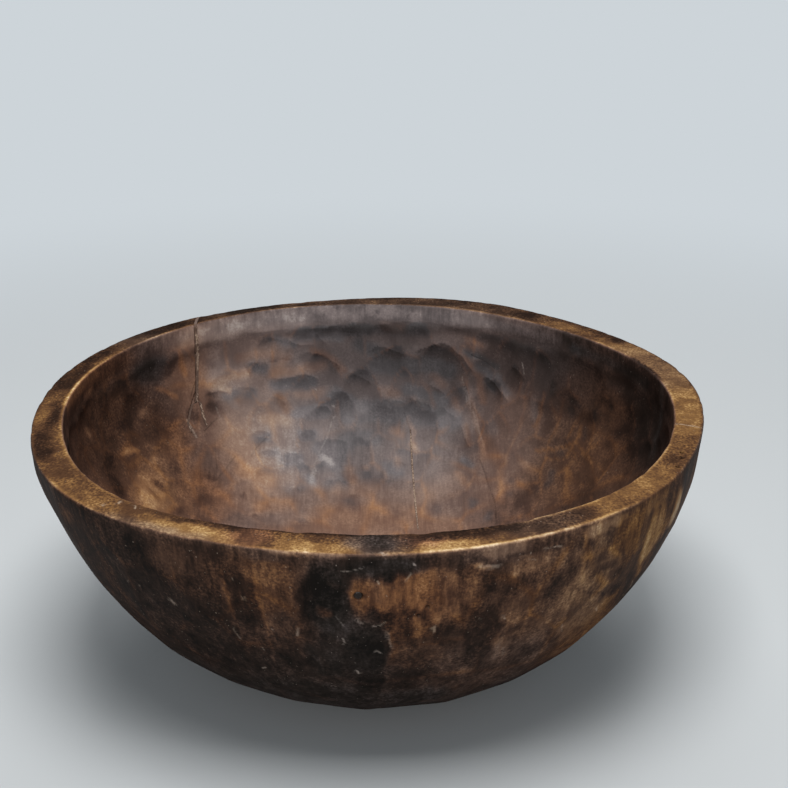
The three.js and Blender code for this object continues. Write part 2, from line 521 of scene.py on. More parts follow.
def gouge_cuts():
    """The bold cuts, and the rows' cuts wherever those leave room."""
    # Bold cuts get the full weight of painted shade and light at their ends
    cuts = [(*cut, 1.0) for cut in BOLD_GOUGE_CUTS]
    for arc, depth, half_width in GOUGE_ROWS:
        radius = float(np.hypot(*in_hollow(BACK, arc)[:2]))
        count = max(5, round(math.tau * radius / (GOUGE_SPACING * half_width)))
        for turn in turns_of_row(count, 0.28):
            at = arc + rng.uniform(-6, 6)
            wide = half_width * rng.uniform(0.8, 1.3)
            above = GOUGE_ABOVE * rng.uniform(0.8, 1.2)
            below = GOUGE_BELOW * rng.uniform(0.8, 1.2)
            deep = depth * rng.uniform(0.6, 1.15)
            # How strongly painted shade darkens this cut's upper end
            dark = rng.uniform(0.1, 1.0)
            if not near_bold_cut(turn, at, radius):
                cuts.append((turn, at, wide, above, below, deep, dark))
    return cuts


def near_bold_cut(turn, arc, radius):
    """Whether a cut would spoil one of the bold ones."""
    for bold_turn, bold_arc, half_width, _, _, _ in BOLD_GOUGE_CUTS:
        aside = abs(turn - bold_turn) * radius * math.pi / 180
        if aside < 0.75 * half_width and -14 < arc - bold_arc < 16:
            return True
    return False


def hewn_flats():
    """Rows of broad flats down the outside, which are given no painted shade at their upper ends."""
    cuts = []
    for arc in FLAT_ROWS:
        radius = float(np.hypot(*on_wall(BACK, arc)[:2]))
        count = max(6, round(math.tau * radius / FLAT_SPACING))
        for turn in turns_of_row(count, 0.25):
            half_width = rng.uniform(21, 28)
            at = arc + rng.uniform(-10, 10)
            depth = rng.uniform(0.9, 1.5)
            cuts.append((turn, at, half_width, FLAT_ABOVE, FLAT_BELOW, depth, 0.0))
    return cuts


def carve(points, normals, along):
    """The hewn surface: gouge cuts in the hollow, flats outside, a worn and dented rim, and a lower wall
    that stands and swells to the right. Gives the points moved, the crests and how high each point lies in
    its gouge cut."""
    arc_in = INNER_CORNER - along
    arc_out = along - OUTER_CORNER
    moved = np.zeros(len(points))
    crest = np.zeros(len(points))
    high = np.zeros(len(points))
    inside = arc_in > 4
    share = smooth(arc_in[inside] + 3.5 * noise_at(points[inside], 13, 6), *BAND_END)
    depth, ridge, upper = tool_cuts(points[inside], in_hollow, gouge_cuts())
    moved[inside] -= share * (GOUGE_GAIN * np.maximum(depth, SHALLOWEST_CUT) - MEAN_CUT)
    crest[inside] = ridge * share
    high[inside] = upper * share
    outside = arc_out > 0
    foot = smooth(arc_out, *FOOT_START)
    share = smooth(arc_out[outside], 0, 12) * (1 - foot[outside])
    depth, ridge, _ = tool_cuts(points[outside], on_wall, hewn_flats())
    moved[outside] -= share * (np.maximum(depth, SHALLOWEST_CUT) - MEAN_CUT)
    crest[outside] = ridge * share
    moved += WALL_SWELL * np.exp(-((arc_out - SWELL_ARC) / SWELL_REACH) ** 2) * points[:, 0] / OUTER_HALF[0]
    moved += 0.25 * noise_at(points, 38, 1) + 0.10 * noise_at(points, 11, 2)
    edge_in = np.exp(-(arc_in / NICK_REACH) ** 2)
    edge_out = np.exp(-(arc_out / NICK_REACH) ** 2)
    nick = np.maximum(noise_at(points, 9, 3) - 0.12, 0) + 0.6 * np.maximum(noise_at(points, 4.5, 4) - 0.2, 0)
    moved -= (edge_in * INNER_NICK + edge_out * OUTER_NICK) * nick
    upright = (arc_in > -2) & (arc_in < BAND_END[1])
    moved[upright] += 0.16 * noise_at(points[upright] * np.array([1, 1, 0.22]), 3.4, 5)
    lean = np.outer(WALL_SHIFT * smooth(arc_out, *SHIFT_ARCS), (1, 0, 0))
    return points + lean + normals * (moved * (1 - 0.85 * foot))[:, None], crest, high


def groove(aside, width):
    """Share of a groove's depth at a distance aside from its middle."""
    return 1 - smooth(np.abs(aside) - width / 2 - GROOVE_MARGIN, -0.5, 0.25)


def crack_gap(points):
    """Share of the groove's depth at each point near the filled cracks."""
    x, y, level = points.T
    share = np.zeros(len(points))
    back = y > 40
    for run in (CRACK_RUN, LEFT_BRANCH, RIGHT_BRANCH, CHECK_RUN):
        across, width = at_level(run, level)
        top, foot = run[0, 1], run[-1, 1]
        ends = smooth(level, foot - 0.8, foot + 0.8) * (1 - smooth(level, top - 0.3, top + 0.8))
        share = np.maximum(share, groove(x - across, width) * ends * back)
    outside = smooth(level, CROSSING_LEVEL - 0.8, CROSSING_LEVEL + 0.8)
    inside = smooth(level, BOWL_HEIGHT - 6, BOWL_HEIGHT - 5)
    ends = np.where(np.hypot(x, y) > HOLLOW_HALF[0] + 6, outside, inside)
    return np.maximum(share, groove(x - CRACK_X, CROSSING_WIDTH) * ends * (y > 100))


def pit_share(points, pits, radius, steepness):
    """Share of a pit's depth at each point."""
    return np.exp(-(near_line(points, pits) / radius) ** steepness)


# Painting. A list starts with the value of the untouched wood, and each dab pulls that towards its own, in
# order, as a soft brush does. A dab is a turn, an arc down from the rim or a share across it, a half turn, a
# half arc and the value.

# How worn the dark stain is: 0 is black and 1 is bare pale wood
HOLLOW_TONE = (0.45, (
    (90, 150, 70, 70, 0.63),
    # Partly painted shade on the upper left of the hollow, under the rim
    (165, 20, 27, 52, 0.28),
    # Painted shade on the upper right of the hollow, under the rim
    (18, 25, 32, 52, 0.25),
    (30, 108, 26, 46, 0.40),
    (15, 100, 8, 34, 0.33),
    (48, 112, 11, 42, 0.60),
    (150, 105, 13, 40, 0.49),
    # These two dabs brighten the centre left of the hollow's back, partly as a painted sheen
    (118, 95, 17, 46, 0.80),
    (104, 112, 7, 36, 0.74),
    (95, 36, 30, 18, 0.49),
    (111, 42, 10, 26, 0.62),
    (92, 61, 20, 12, 0.57),
    (135, 32, 6, 34, 0.57),
    (124, 46, 8, 16, 0.75),
    (112, 62, 9, 10, 0.72),
    (75, 120, 14, 36, 0.72),
    (93, 105, 6, 38, 0.66),
    (65, 82, 6, 14, 0.66),
    (54, 66, 9, 14, 0.55),
    (52, 28, 9, 22, 0.36),
    (70, 24, 8, 6, 0.56),
    # More painted shade on the upper right of the hollow
    (10, 25, 14, 38, 0.14),
    (24, 40, 6, 12, 0.32),
    (143.5, 21, 7, 11, 0.31),
    (156, 24, 4, 8, 0.36),
    (156, 46, 3.5, 5, 0.23),
    (170, 72, 3, 10, 0.20),
    (167, 60, 4, 5, 0.24),
    (147, 58, 6, 10, 0.31),
    (161.5, 92.5, 6.5, 13.5, 0.70),
    (157.2, 93, 1.1, 6, 0.34),
    (165, 84.5, 1.4, 2.6, 0.50),
    (161, 96, 0.9, 6, 0.54),
    (158, 64.5, 3.2, 3, 0.56),
    (153, 78, 1.5, 2.4, 0.64),
    (149.2, 47, 1.0, 3, 0.54),
    (169.2, 36, 1.2, 6, 0.46),
    (166.5, 12, 2.2, 3, 0.46),
    (134.5, 33, 1.4, 5, 0.58),
    (149, 91, 2, 6, 0.36),
    (141, 108, 1.8, 3.5, 0.38),
    (149, 119, 4, 5, 0.36),
    (158, 113.5, 2, 3.5, 0.40),
    (155, 136, 6, 12, 0.46),
    (136, 62, 2, 4.5, 0.36),
    (130.4, 60, 2, 5, 0.42),
    (129.6, 52, 1.6, 2.2, 0.40),
    (95, 6, 44, 8.5, 0.68),
    (65, 6, 6, 6, 0.72),
    (125, 8, 12, 9, 0.80),
    (110, 9, 8, 7, 0.80),
    (-90, 30, 62, 45, 0.32),
    (-60, 85, 26, 40, 0.46),
    (-130, 92, 24, 38, 0.44),
    (-95, 125, 40, 35, 0.52),
    (-150, 40, 12, 34, 0.40),
    (-118, 66, 10, 24, 0.58),
    (-96, 50, 9, 30, 0.40),
    (-78, 92, 10, 22, 0.62),
    (-50, 50, 10, 26, 0.50),
    (-28, 80, 12, 40, 0.36),
))
WALL_TONE = (0.30, (
    (-90, 110, 120, 62, 0.18),
    (-65, 112, 16, 36, 0.33),
    (-138, 40, 12, 60, 0.14),
    (-124, 60, 12, 50, 0.14),
    (-145, 16, 2.5, 7, 0.36),
    (-127.5, 13, 2.5, 9, 0.09),
    (-121.5, 17, 4, 10, 0.34),
    (-113, 17, 3, 11, 0.25),
    (-106.5, 12, 4.2, 5, 0.35),
    (-107, 18, 2.6, 7, 0.40),
    (-103.2, 14, 1.8, 9, 0.38),
    (-105.3, 42, 2.7, 18, 0.34),
    (-110.8, 46, 2.2, 14, 0.15),
    (-112.4, 24, 1.8, 9, 0.22),
    (-105.8, 80, 2.2, 8, 0.15),
    (-97.2, 28, 4.2, 20, 0.08),
    (-95, 10, 4, 4, 0.10),
    (-97.5, 39, 1.1, 4, 0.30),
    (-98, 78, 3.5, 26, 0.16),
    (-85, 26, 8, 11, 0.44),
    (-91.7, 28, 1.7, 11, 0.46),
    (-87.5, 27, 2.3, 10, 0.50),
    (-83, 24, 2.5, 13, 0.56),
    (-86.5, 11, 3, 4.5, 0.14),
    (-78.7, 18, 1.5, 7, 0.52),
    (-75.2, 27, 1.7, 8, 0.40),
    (-72.3, 25, 1.5, 9, 0.26),
    (-69, 25, 1.2, 5, 0.28),
    (-66.5, 46, 3.2, 14, 0.48),
    (-73, 49, 1.6, 5, 0.24),
    (-79, 38, 2.4, 10, 0.50),
    (-83, 51, 0.9, 9, 0.46),
    (-88.5, 44, 2.2, 6, 0.12),
    (-91.5, 60, 3.6, 14, 0.07),
    (-91, 97, 2.6, 24, 0.14),
    (-84, 76, 3.5, 15, 0.30),
    (-77.5, 75, 3.3, 20, 0.33),
    (-72.5, 85, 2.0, 12, 0.25),
    (-68, 80, 2.6, 20, 0.46),
    (-62, 68, 4, 22, 0.46),
    (-73.4, 12.5, 1.6, 1.8, 0.68),
    (-66, 14, 4, 5, 0.52),
    (-53, 54, 6, 30, 0.53),
    (-58.5, 32, 1.8, 8, 0.30),
    (-59, 16, 2.2, 6, 0.46),
    (-51.5, 36, 2.6, 4, 0.36),
    (-52, 14, 1.5, 4, 0.46),
    (-55.2, 15, 0.7, 4, 0.38),
    (-45.5, 17, 3.3, 14, 0.46),
    (-43.5, 45, 2.6, 7, 0.32),
    (-38, 32, 3, 22, 0.66),
    (-35, 57, 2, 10, 0.32),
    (-49, 80, 7, 14, 0.58),
    (-44, 108, 9, 24, 0.47),
    (-30.5, 24, 2, 14, 0.92),
    (-88, 4, 8, 3, 0.16),
    (-76, 3, 3, 3, 0.34),
    (-70, 4, 4, 3.5, 0.60),
    (-63, 4, 3, 3.5, 0.30),
    (-52, 5, 4.5, 4, 0.68),
    (-40, 6, 4, 5, 0.56),
    # These two lighten the wall just under the rim's outer edge at the front, as a painted highlight
    (-103, 1.2, 2, 1.6, 0.62),
    (-96.5, 1.2, 2.5, 1.6, 0.56),
    (-20, 70, 8, 60, 0.42),
    (-10, 30, 8, 28, 0.56),
    (4, 80, 5, 44, 0.15),
    (14, 60, 12, 60, 0.32),
    (23, 22, 4, 17, 0.15),
    (35, 30, 9, 26, 0.60),
    (44, 84, 5, 30, 0.42),
    (52, 24, 5, 20, 0.12),
    (62, 60, 14, 60, 0.28),
    (73, 52, 4, 42, 0.14),
    (84, 26, 8, 20, 0.62),
    (95, 62, 4, 32, 0.48),
    (104, 60, 10, 60, 0.24),
    (112, 24, 4, 18, 0.12),
    (125, 36, 8, 30, 0.56),
    (137, 72, 5, 38, 0.15),
    (150, 60, 12, 70, 0.28),
    (156, 20, 5, 16, 0.50),
    (167, 64, 4, 36, 0.42),
    (178, 34, 9, 28, 0.52),
    (-168, 42, 4, 32, 0.14),
    (-155, 60, 8, 70, 0.22),
))
RIM_TONE = (0.44, (
    (-175, 0.3, 7, 0.4, 0.20),
    (-177, 0.75, 4, 0.35, 0.50),
    (-164, 0.2, 5, 0.3, 0.44),
    (-162, 0.75, 7, 0.4, 0.20),
    (-148, 0.5, 6, 2, 0.41),
    (-148, 0.8, 5, 0.3, 0.48),
    (-140, 0.6, 5, 2, 0.48),
    (-141, 0.2, 6, 0.25, 0.38),
    (-132, 0.5, 4, 2, 0.45),
    (-119, 0.7, 8, 0.5, 0.67),
    (-116, 0.1, 12, 0.25, 0.28),
    (-108, 0.4, 3.5, 0.6, 0.46),
    (-99, 0.8, 5.5, 0.35, 0.62),
    (-98, 0.2, 6, 0.3, 0.33),
    (-93, 0.8, 3, 0.3, 0.56),
    (-88.5, 0.4, 4, 0.55, 0.25),
    (-79, 0.75, 6, 0.3, 0.61),
    (-74, 0.2, 14, 0.32, 0.22),
    (-59, 0.5, 6, 0.6, 0.27),
    (-42, 0.45, 9, 2, 0.53),
    (-28, 0.5, 3.5, 2, 0.33),
    (-20, 0.75, 4, 0.35, 0.36),
    (-10, 0.5, 7, 2, 0.62),
    (6, 0.6, 12, 2, 0.57),
    (25, 0.4, 6, 0.7, 0.56),
    (34, 0.85, 7, 0.35, 0.20),
    (43, 0.4, 4, 0.4, 0.46),
    (45, 0.85, 4, 0.3, 0.20),
    (53, 0.5, 5, 2, 0.20),
    (66, 0.5, 8, 2, 0.25),
    (67, 0.15, 10, 0.3, 0.35),
    (86, 0.4, 12, 2, 0.28),
    (103, 0.3, 6, 0.4, 0.20),
    (116, 0.6, 8, 2, 0.21),
    (126, 0.5, 3, 2, 0.25),
    (136, 0.5, 7, 2, 0.16),
    (149, 0.25, 4, 0.35, 0.40),
    (158, 0.7, 10, 0.4, 0.17),
    (156, 0.2, 3, 0.3, 0.40),
    (168, 0.45, 8, 2, 0.22),
    (-108, 0.8, 2.5, 0.25, 0.54),
    (-84, 0.5, 2.5, 0.3, 0.32),
    (-47, 0.8, 5, 0.3, 0.44),
    (44, 0.5, 3, 0.3, 0.52),
    (92, 0.5, 4, 0.3, 0.36),
    (132, 0.25, 3, 0.3, 0.15),
    (156, 0.5, 3, 0.3, 0.14),
    (164, 0.7, 4, 0.3, 0.30),
))

# The same on the rim's edges, where a dab is a turn, a half turn and the value
INNER_EDGE_TONE = (0.50, (
    (-105, 17, 0.16),
    (-92, 4, 0.06),
    (-85, 2.5, 0.30),
    (-74, 7, 0.08),
    (-60, 4, 0.76),
    (-52, 4, 0.84),
    (-42, 6, 0.56),
    (-29, 10, 0.70),
    (2, 7, 0.69),
    (15, 6, 0.14),
    (30, 7, 0.70),
    (56, 6, 0.58),
    (68, 12, 0.64),
    (88, 6, 0.45),
    (100, 3, 0.30),
    (108, 5, 0.66),
    (140, 6, 0.78),
    (151, 5, 0.50),
    (170, 14, 0.84),
    (-172, 4, 0.52),
    (-160, 10, 0.70),
))
OUTER_EDGE_TONE = (0.42, (
    # The pale front of this edge is partly a painted highlight
    (-143, 7, 0.70),
    (-130, 5, 0.60),
    (-118, 9, 0.62),
    (-101, 7, 0.78),
    (-90, 4, 0.54),
    (-71, 15, 1.0),
    (-52, 4, 0.86),
    (-40, 8, 0.52),
    (60, 30, 0.26),
    (150, 30, 0.26),
))

# How greyed the wood is: 0 is golden and 1 is grey. At the back of the hollow the grey is partly a
# painted sheen, the soft reflection of the light on the wood.
HOLLOW_GREY = (0.35, (
    # These first two dabs grey the back of the hollow, partly as a painted sheen
    (95, 70, 50, 140, 0.87),
    (92, 100, 28, 40, 0.88),
    (118, 60, 8, 50, 0.74),
    (45, 30, 14, 36, 0.82),
    (48, 80, 10, 40, 0.58),
    (35, 60, 7, 40, 0.42),
    (135, 40, 6, 50, 0.36),
    (130, 100, 10, 40, 0.48),
    (165, 60, 20, 90, 0.15),
    (145, 70, 6, 22, 0.10),
    (148, 115, 9, 24, 0.12),
    (162, 92, 7, 14, 0.08),
    (20, 70, 14, 60, 0.15),
    (18, 14, 16, 14, 0.38),
    (8, 35, 8, 20, 0.60),
    (144, 20, 6, 11, 0.80),
    (140, 6, 10, 7, 0.62),
    (85, 7, 38, 8, 0.94),
    (162, 6, 12, 8, 0.05),
    (95, 150, 60, 16, 0.62),
    (95, 174, 60, 18, 0.34),
    (-90, 80, 70, 90, 0.35),
    (-105, 70, 16, 46, 0.80),
    (-62, 110, 18, 40, 0.76),
    (-140, 110, 16, 40, 0.66),
    (-35, 50, 14, 36, 0.20),
))
WALL_GREY = (0.36, (
    (-90, 125, 200, 45, 0.62),
    (-95, 138, 42, 32, 0.88),
    (-124, 100, 9, 26, 0.72),
    (-74, 112, 16, 44, 0.50),
    (-82, 137, 10, 17, 0.88),
    (-42, 100, 14, 60, 0.15),
    (-128, 60, 12, 60, 0.48),
    (-142, 50, 6, 60, 0.06),
    (-122, 22, 7, 20, 0.30),
    (-112, 24, 5, 20, 0.20),
    (-106, 26, 5, 30, 0.12),
    (-106, 3, 4, 4, 0.45),
    (-105, 55, 3, 12, 0.35),
    (-96.6, 34, 3.4, 30, 0.95),
    (-97.5, 39, 1.2, 4, 0.20),
    (-92, 70, 4, 30, 0.90),
    (-98.5, 80, 3.5, 18, 0.85),
    (-91.5, 28, 2, 12, 0.0),
    (-84, 30, 6, 22, 0.0),
    (-88, 8, 6, 6, 0.92),
    (-83.5, 55, 4, 16, 0.05),
    (-83, 75, 5, 14, 0.30),
    (-76, 30, 4, 22, 0.15),
    (-67, 40, 6, 36, 0.28),
    (-72, 6, 6, 6, 0.50),
    (-52, 40, 8, 50, 0.32),
    (-56, 9, 7, 8, 0.35),
    (-46, 17, 4, 15, 0.0),
    (-38, 60, 8, 80, 0.0),
    (60, 40, 90, 50, 0.35),
    (23, 40, 8, 40, 0.70),
    (84, 26, 9, 24, 0.10),
    (112, 50, 8, 44, 0.70),
    (125, 36, 8, 30, 0.15),
    (178, 34, 10, 30, 0.15),
))
RIM_GREY = (0.02, (
    (-89, 0.4, 4.5, 0.7, 0.75),
    (-62, 0.4, 8, 0.6, 0.32),
    (-124, 0.95, 10, 0.3, 0.35),
    (88, 0.5, 38, 2, 0.28),
    (144, 0.5, 6, 2, 0.32),
    (16, 0.5, 12, 2, 0.22),
    (118, 0.8, 10, 0.5, 0.40),
))

# How red the wood is where it isn't greyed
HOLLOW_RED = (0.75, (
    (161.5, 92.5, 8, 16, 0.05),
    (22, 70, 22, 60, 0.40),
    (160, 60, 18, 60, 0.50),
    (-90, 80, 80, 110, 0.50),
))
WALL_RED = (0.32, (
    (-84, 30, 9, 22, 0.55),
    (-45, 40, 14, 60, 0.10),
))
RIM_RED = (0.05, (
    (-109, 0.4, 3.5, 0.8, 0.60),
    (-82, 0.4, 4, 0.3, 0.60),
))

# How far the crests between tool cuts are rubbed to gold
HOLLOW_CREST = (0.05, (
    (25, 85, 26, 55, 0.10),
    (85, 50, 38, 40, 0.03),
    (160, 80, 22, 45, 0.08),
    (-90, 90, 80, 90, 0.20),
))
WALL_CREST = (0.05, (
    (-118, 60, 20, 60, 0.08),
    (0, 50, 30, 70, 0.16),
    (90, 50, 70, 60, 0.14),
))

# How strong the painted shade is in the upper end of each gouge cut, where its steep face turns down from
# the light, and the painted light towards its lower end
HOLLOW_SHADE = (0.08, (
    (80, 60, 45, 60, 0.05),
    (25, 60, 20, 60, 0.06),
    (155, 60, 20, 60, 0.07),
    (-90, 80, 90, 120, 0.17),
))

# How uneven the tone is
HOLLOW_MOTTLE = (0.3, (
    (85, 60, 46, 200, 0.14),
    (155, 55, 18, 60, 0.34),
    (90, 4, 60, 8, 0.50),
    (-90, 80, 90, 120, 0.20),
))
WALL_MOTTLE = (0.3, (
    (-88, 50, 14, 70, 0.32),
    (-55, 40, 16, 60, 0.40),
))
RIM_MOTTLE = (0.44, (
    (0, 0.5, 40, 2, 0.50),
    (85, 0.5, 45, 2, 0.46),
    (172, 0.5, 33, 2, 0.28),
))

# How strong the fine upright streaks of the wall are
WALL_STREAK = (0.6, (
    (-85, 30, 10, 20, 0.8),
))

# How strong the fine specks of the hollow are
HOLLOW_SPECKLE = (0.40, (
    (158, 60, 22, 70, 0.95),
    (22, 60, 22, 70, 0.65),
))

# How strong the stripes across the rim are
RIM_STRIPE = (0.05, (
    (85, 0.5, 45, 2, 0.05),
    (175, 0.5, 35, 2, 0.04),
))

# Soft strokes: turns, arcs, half width, step of tone and step of greyness
HOLLOW_STROKES = (
    # Warm patches at the back of the hollow, partly painted light on the lit lips of the cuts
    ((129, 124, 119), (46, 44, 43), 3.5, 0.06, -0.26),
    ((113.5, 109, 105, 101), (47, 48, 46, 44), 4.0, 0.05, -0.23),
    ((103, 100, 97.5, 96), (33, 37, 43, 49), 2.8, -0.03, -0.26),
    ((108, 104, 100), (64, 65, 64), 4.0, 0.05, -0.18),
    ((118, 114, 112), (78, 80, 83), 4.5, 0.06, -0.21),
    ((112.5, 111.5), (64, 74), 3.2, -0.06, -0.23),
    ((121, 117, 113, 109), (32, 31, 33, 36), 3.5, 0.04, -0.16),
    ((126.5, 124.5), (50, 53), 2.2, 0.10, -0.26),
    ((131, 127, 124), (112, 118, 124), 6.0, 0.02, -0.21),
    ((122, 117), (125, 127), 5.0, 0.03, -0.13),
    ((97, 96), (127, 134), 4.0, 0.00, -0.26),
    ((133, 128, 122), (142, 146, 147), 6.0, 0.03, -0.23),
    ((101, 95), (143, 147), 5.0, 0.03, -0.07),
    ((69.5, 67, 64.5, 62.5, 61, 60), (31, 34, 40, 47, 56, 64), 2.6, 0.02, -0.26),
    ((66, 62.5), (21, 25), 2.5, 0.08, -0.21),
    ((86, 83), (64, 66), 4.0, 0.01, -0.20),
    ((83, 80.5), (94, 97), 3.5, 0.05, -0.23),
    ((77, 75.5), (104, 110), 3.0, 0.05, -0.21),
    ((81, 80.5), (117, 123), 3.0, 0.05, -0.21),
    ((68, 66.5), (66, 72), 2.5, 0.03, -0.18),
    ((74, 71), (51, 57), 3.0, 0.04, -0.16),
    ((60, 57, 55), (122, 126, 130), 3.0, 0.06, -0.21),
    ((46, 43, 40), (114, 124, 131), 4.0, 0.04, -0.14),
    ((63, 61.5, 60), (84, 92, 98), 2.5, -0.03, -0.21),
    ((56, 52, 48), (92, 100, 106), 5.0, -0.02, -0.16),
    # Grey patches there, partly painted shade, bluish grey, in the insides of the cuts
    ((112, 109.5, 107.5), (22, 25, 27), 3.5, -0.01, 0.22),
    ((105, 101, 97), (22, 22, 24), 5.0, 0.04, 0.22),
    ((117.5, 115), (40, 43), 4.5, -0.01, 0.22),
    ((113, 109, 104.5), (55, 56, 56), 5.0, -0.01, 0.26),
    ((123.5, 119), (56, 58), 4.0, -0.01, 0.22),
    ((99, 95.5), (66, 72), 5.5, 0.00, 0.26),
    ((109, 105, 101.5), (78, 78, 78), 4.5, -0.00, 0.26),
    ((122, 118), (91, 91), 4.5, -0.01, 0.26),
    ((109, 106), (94, 95), 3.5, -0.01, 0.26),
    ((104, 98), (106, 110), 7.0, -0.01, 0.22),
    ((121, 118), (103, 104), 4.0, -0.01, 0.19),
    ((116, 112.5), (112, 113), 5.5, -0.01, 0.22),
    ((104, 100), (138, 138), 6.0, -0.01, 0.22),
    ((119, 115), (138, 138), 4.0, -0.01, 0.11),
    ((88, 82, 76, 70), (46, 47, 43, 46), 6.0, -0.00, 0.22),
    ((80, 74, 70), (62, 66, 68), 4.0, 0.04, 0.26),
    ((95, 85, 78, 72, 67), (80, 79, 80, 80, 82), 8.0, 0.06, 0.24),
    ((59.5, 58), (49, 54), 3.5, -0.01, 0.22),
    ((63, 57, 54), (41, 46, 54), 3.5, 0.04, 0.22),
    ((68, 62, 58), (32, 34, 38), 3.0, 0.00, 0.22),
    ((84, 80.5), (124, 127), 5.0, -0.01, 0.22),
    ((60, 57), (110, 113), 3.0, 0.04, 0.22),
    ((97, 93, 89), (102, 98, 101), 6.0, -0.01, 0.15),
    # Lighter and darker stretches there
    ((104.5, 102.5), (115, 119), 3.5, 0.12, 0.25),
    ((110.2, 110.8), (130, 137), 3.5, 0.10, 0.20),
    ((101.5, 100.8), (119, 125), 3.0, 0.08, 0.20),
    ((92.5, 91), (127, 132), 3.5, -0.06, 0.10),
    ((66, 63, 60, 57, 54.5), (50, 66, 78, 90, 105), 3.2, 0.06, -0.15),
    ((79, 77.5, 76.3), (82, 94, 106), 2.0, 0.07, -0.20),
    ((128, 115, 97), (24, 24, 23), 7.0, 0.11, -0.05),
    ((86, 82), (17, 18), 4.0, -0.06, -0.20),
    ((152, 148), (148, 158), 7.0, 0.20, 0.0),
    ((140, 125), (135, 132), 8.0, 0.06, -0.10),
    ((70, 60), (148, 125), 8.0, 0.06, -0.05),
    ((131, 130), (90, 105), 6.0, -0.05, 0.0),
    ((86, 79.5), (134, 136), 5.0, -0.07, 0.05),
    ((100, 99), (120, 134), 5.0, -0.06, 0.10),
    ((49.5, 48.5), (141, 145), 3.5, -0.07, 0.25),
    ((40, 39), (145, 149), 3.0, -0.06, 0.25),
    ((140, 139), (158, 164), 5.0, -0.09, -0.1),
    ((130, 120), (160, 161), 5.0, 0.06, 0.1),
    ((41, 39.5), (118, 124), 4.5, -0.08, 0.20),
    ((31, 29), (119, 122), 4.0, 0.08, 0.0),
    ((66, 64), (57, 63), 4.0, 0.06, 0.15),
    ((56, 54.5), (77, 84), 4.0, 0.06, 0.15),
    ((46, 45), (56, 64), 4.0, 0.05, 0.15),
    ((126, 124.5), (57, 63), 3.5, 0.05, 0.20),
    ((156, 154), (131, 139), 4.0, -0.08, 0.0),
    ((166, 164), (102, 108), 4.0, 0.06, 0.0),
    ((135.5, 134.5), (18, 33), 2.5, 0.05, -0.35),
    ((104, 98, 90), (20, 20, 19), 4.0, -0.06, 0.15),
    ((92, 88), (30, 36), 5.0, -0.04, 0.15),
    ((99, 96.5), (155, 160), 4.0, -0.08, 0.15),
    ((79.5, 77.5), (163, 168), 4.0, -0.07, 0.10),
    ((61.5, 60), (156, 160), 3.5, -0.06, 0.15),
    ((111, 107), (158, 160), 4.0, 0.05, -0.15),
    ((89, 85), (158, 162), 4.5, 0.05, -0.15),
    ((70, 66), (160, 162), 4.0, 0.05, -0.15),
    # Along the smooth band and at its ends
    ((40, 24), (3.5, 3.5), 4.5, -0.08, 0.10),
    ((38, 24, 14), (10.5, 10.5, 10.5), 4.0, -0.03, 0.35),
    ((77, 63), (6, 6), 6.0, 0.05, 0.0),
    ((26, 15), (24, 24), 5.0, 0.05, 0.15),
    ((6, 4), (5, 45), 5.0, 0.08, 0.30),
    ((180, 170, 162), (3, 3, 4), 4.0, 0.18, -0.20),
    # Gold lines and dark spots at the right of the hollow
    ((49, 48, 47.3), (42, 76, 112), 1.2, 0.05, -0.15),
    ((44, 43.7), (48, 72), 1.4, 0.05, -0.35),
    ((38.7, 37.8, 37.5), (48, 62, 78), 1.4, 0.05, -0.2),
    ((30, 24, 16), (71, 77, 78), 1.4, 0.09, -0.2),
    ((30.5, 33, 35.5, 40), (72, 78, 83, 87), 1.6, 0.09, -0.3),
    ((31, 30), (60, 71), 1.8, 0.09, -0.2),
    ((30.5, 30.5, 33, 36), (74, 84, 88, 90), 1.2, 0.08, -0.2),
    ((28, 20, 12), (58, 58, 59), 2.2, 0.03, -0.1),
    ((28, 24, 20), (90, 95, 95), 1.4, 0.05, -0.1),
    ((40, 33), (113, 116), 2.0, 0.06, -0.2),
    ((28.5, 28.2), (48, 52), 2.2, -0.08, 0.3),
    ((42.5, 41.5), (40, 46), 3.0, -0.08, 0.1),
    ((36.5, 33.5), (46, 47), 2.5, -0.06, 0.2),
    ((36, 35), (52, 55), 2.5, -0.06, 0.2),
    ((29.5, 28.5), (62, 66), 2.0, -0.06, 0.2),
    ((33.5, 32), (82, 84), 2.5, -0.06, 0.2),
    ((31.5, 30), (98, 106), 3.0, -0.04, 0.3),
    ((24.8, 24.6), (36, 40), 2.0, -0.06, 0.2),
    # Gold at the left of the hollow
    ((143, 141, 138.5), (36, 40, 46), 2.0, 0.12, -0.3),
    ((161, 158, 155.5), (62, 64, 67), 1.8, 0.10, -0.2),
    ((164.5, 162.5), (51.5, 52), 1.2, 0.14, -0.1),
)
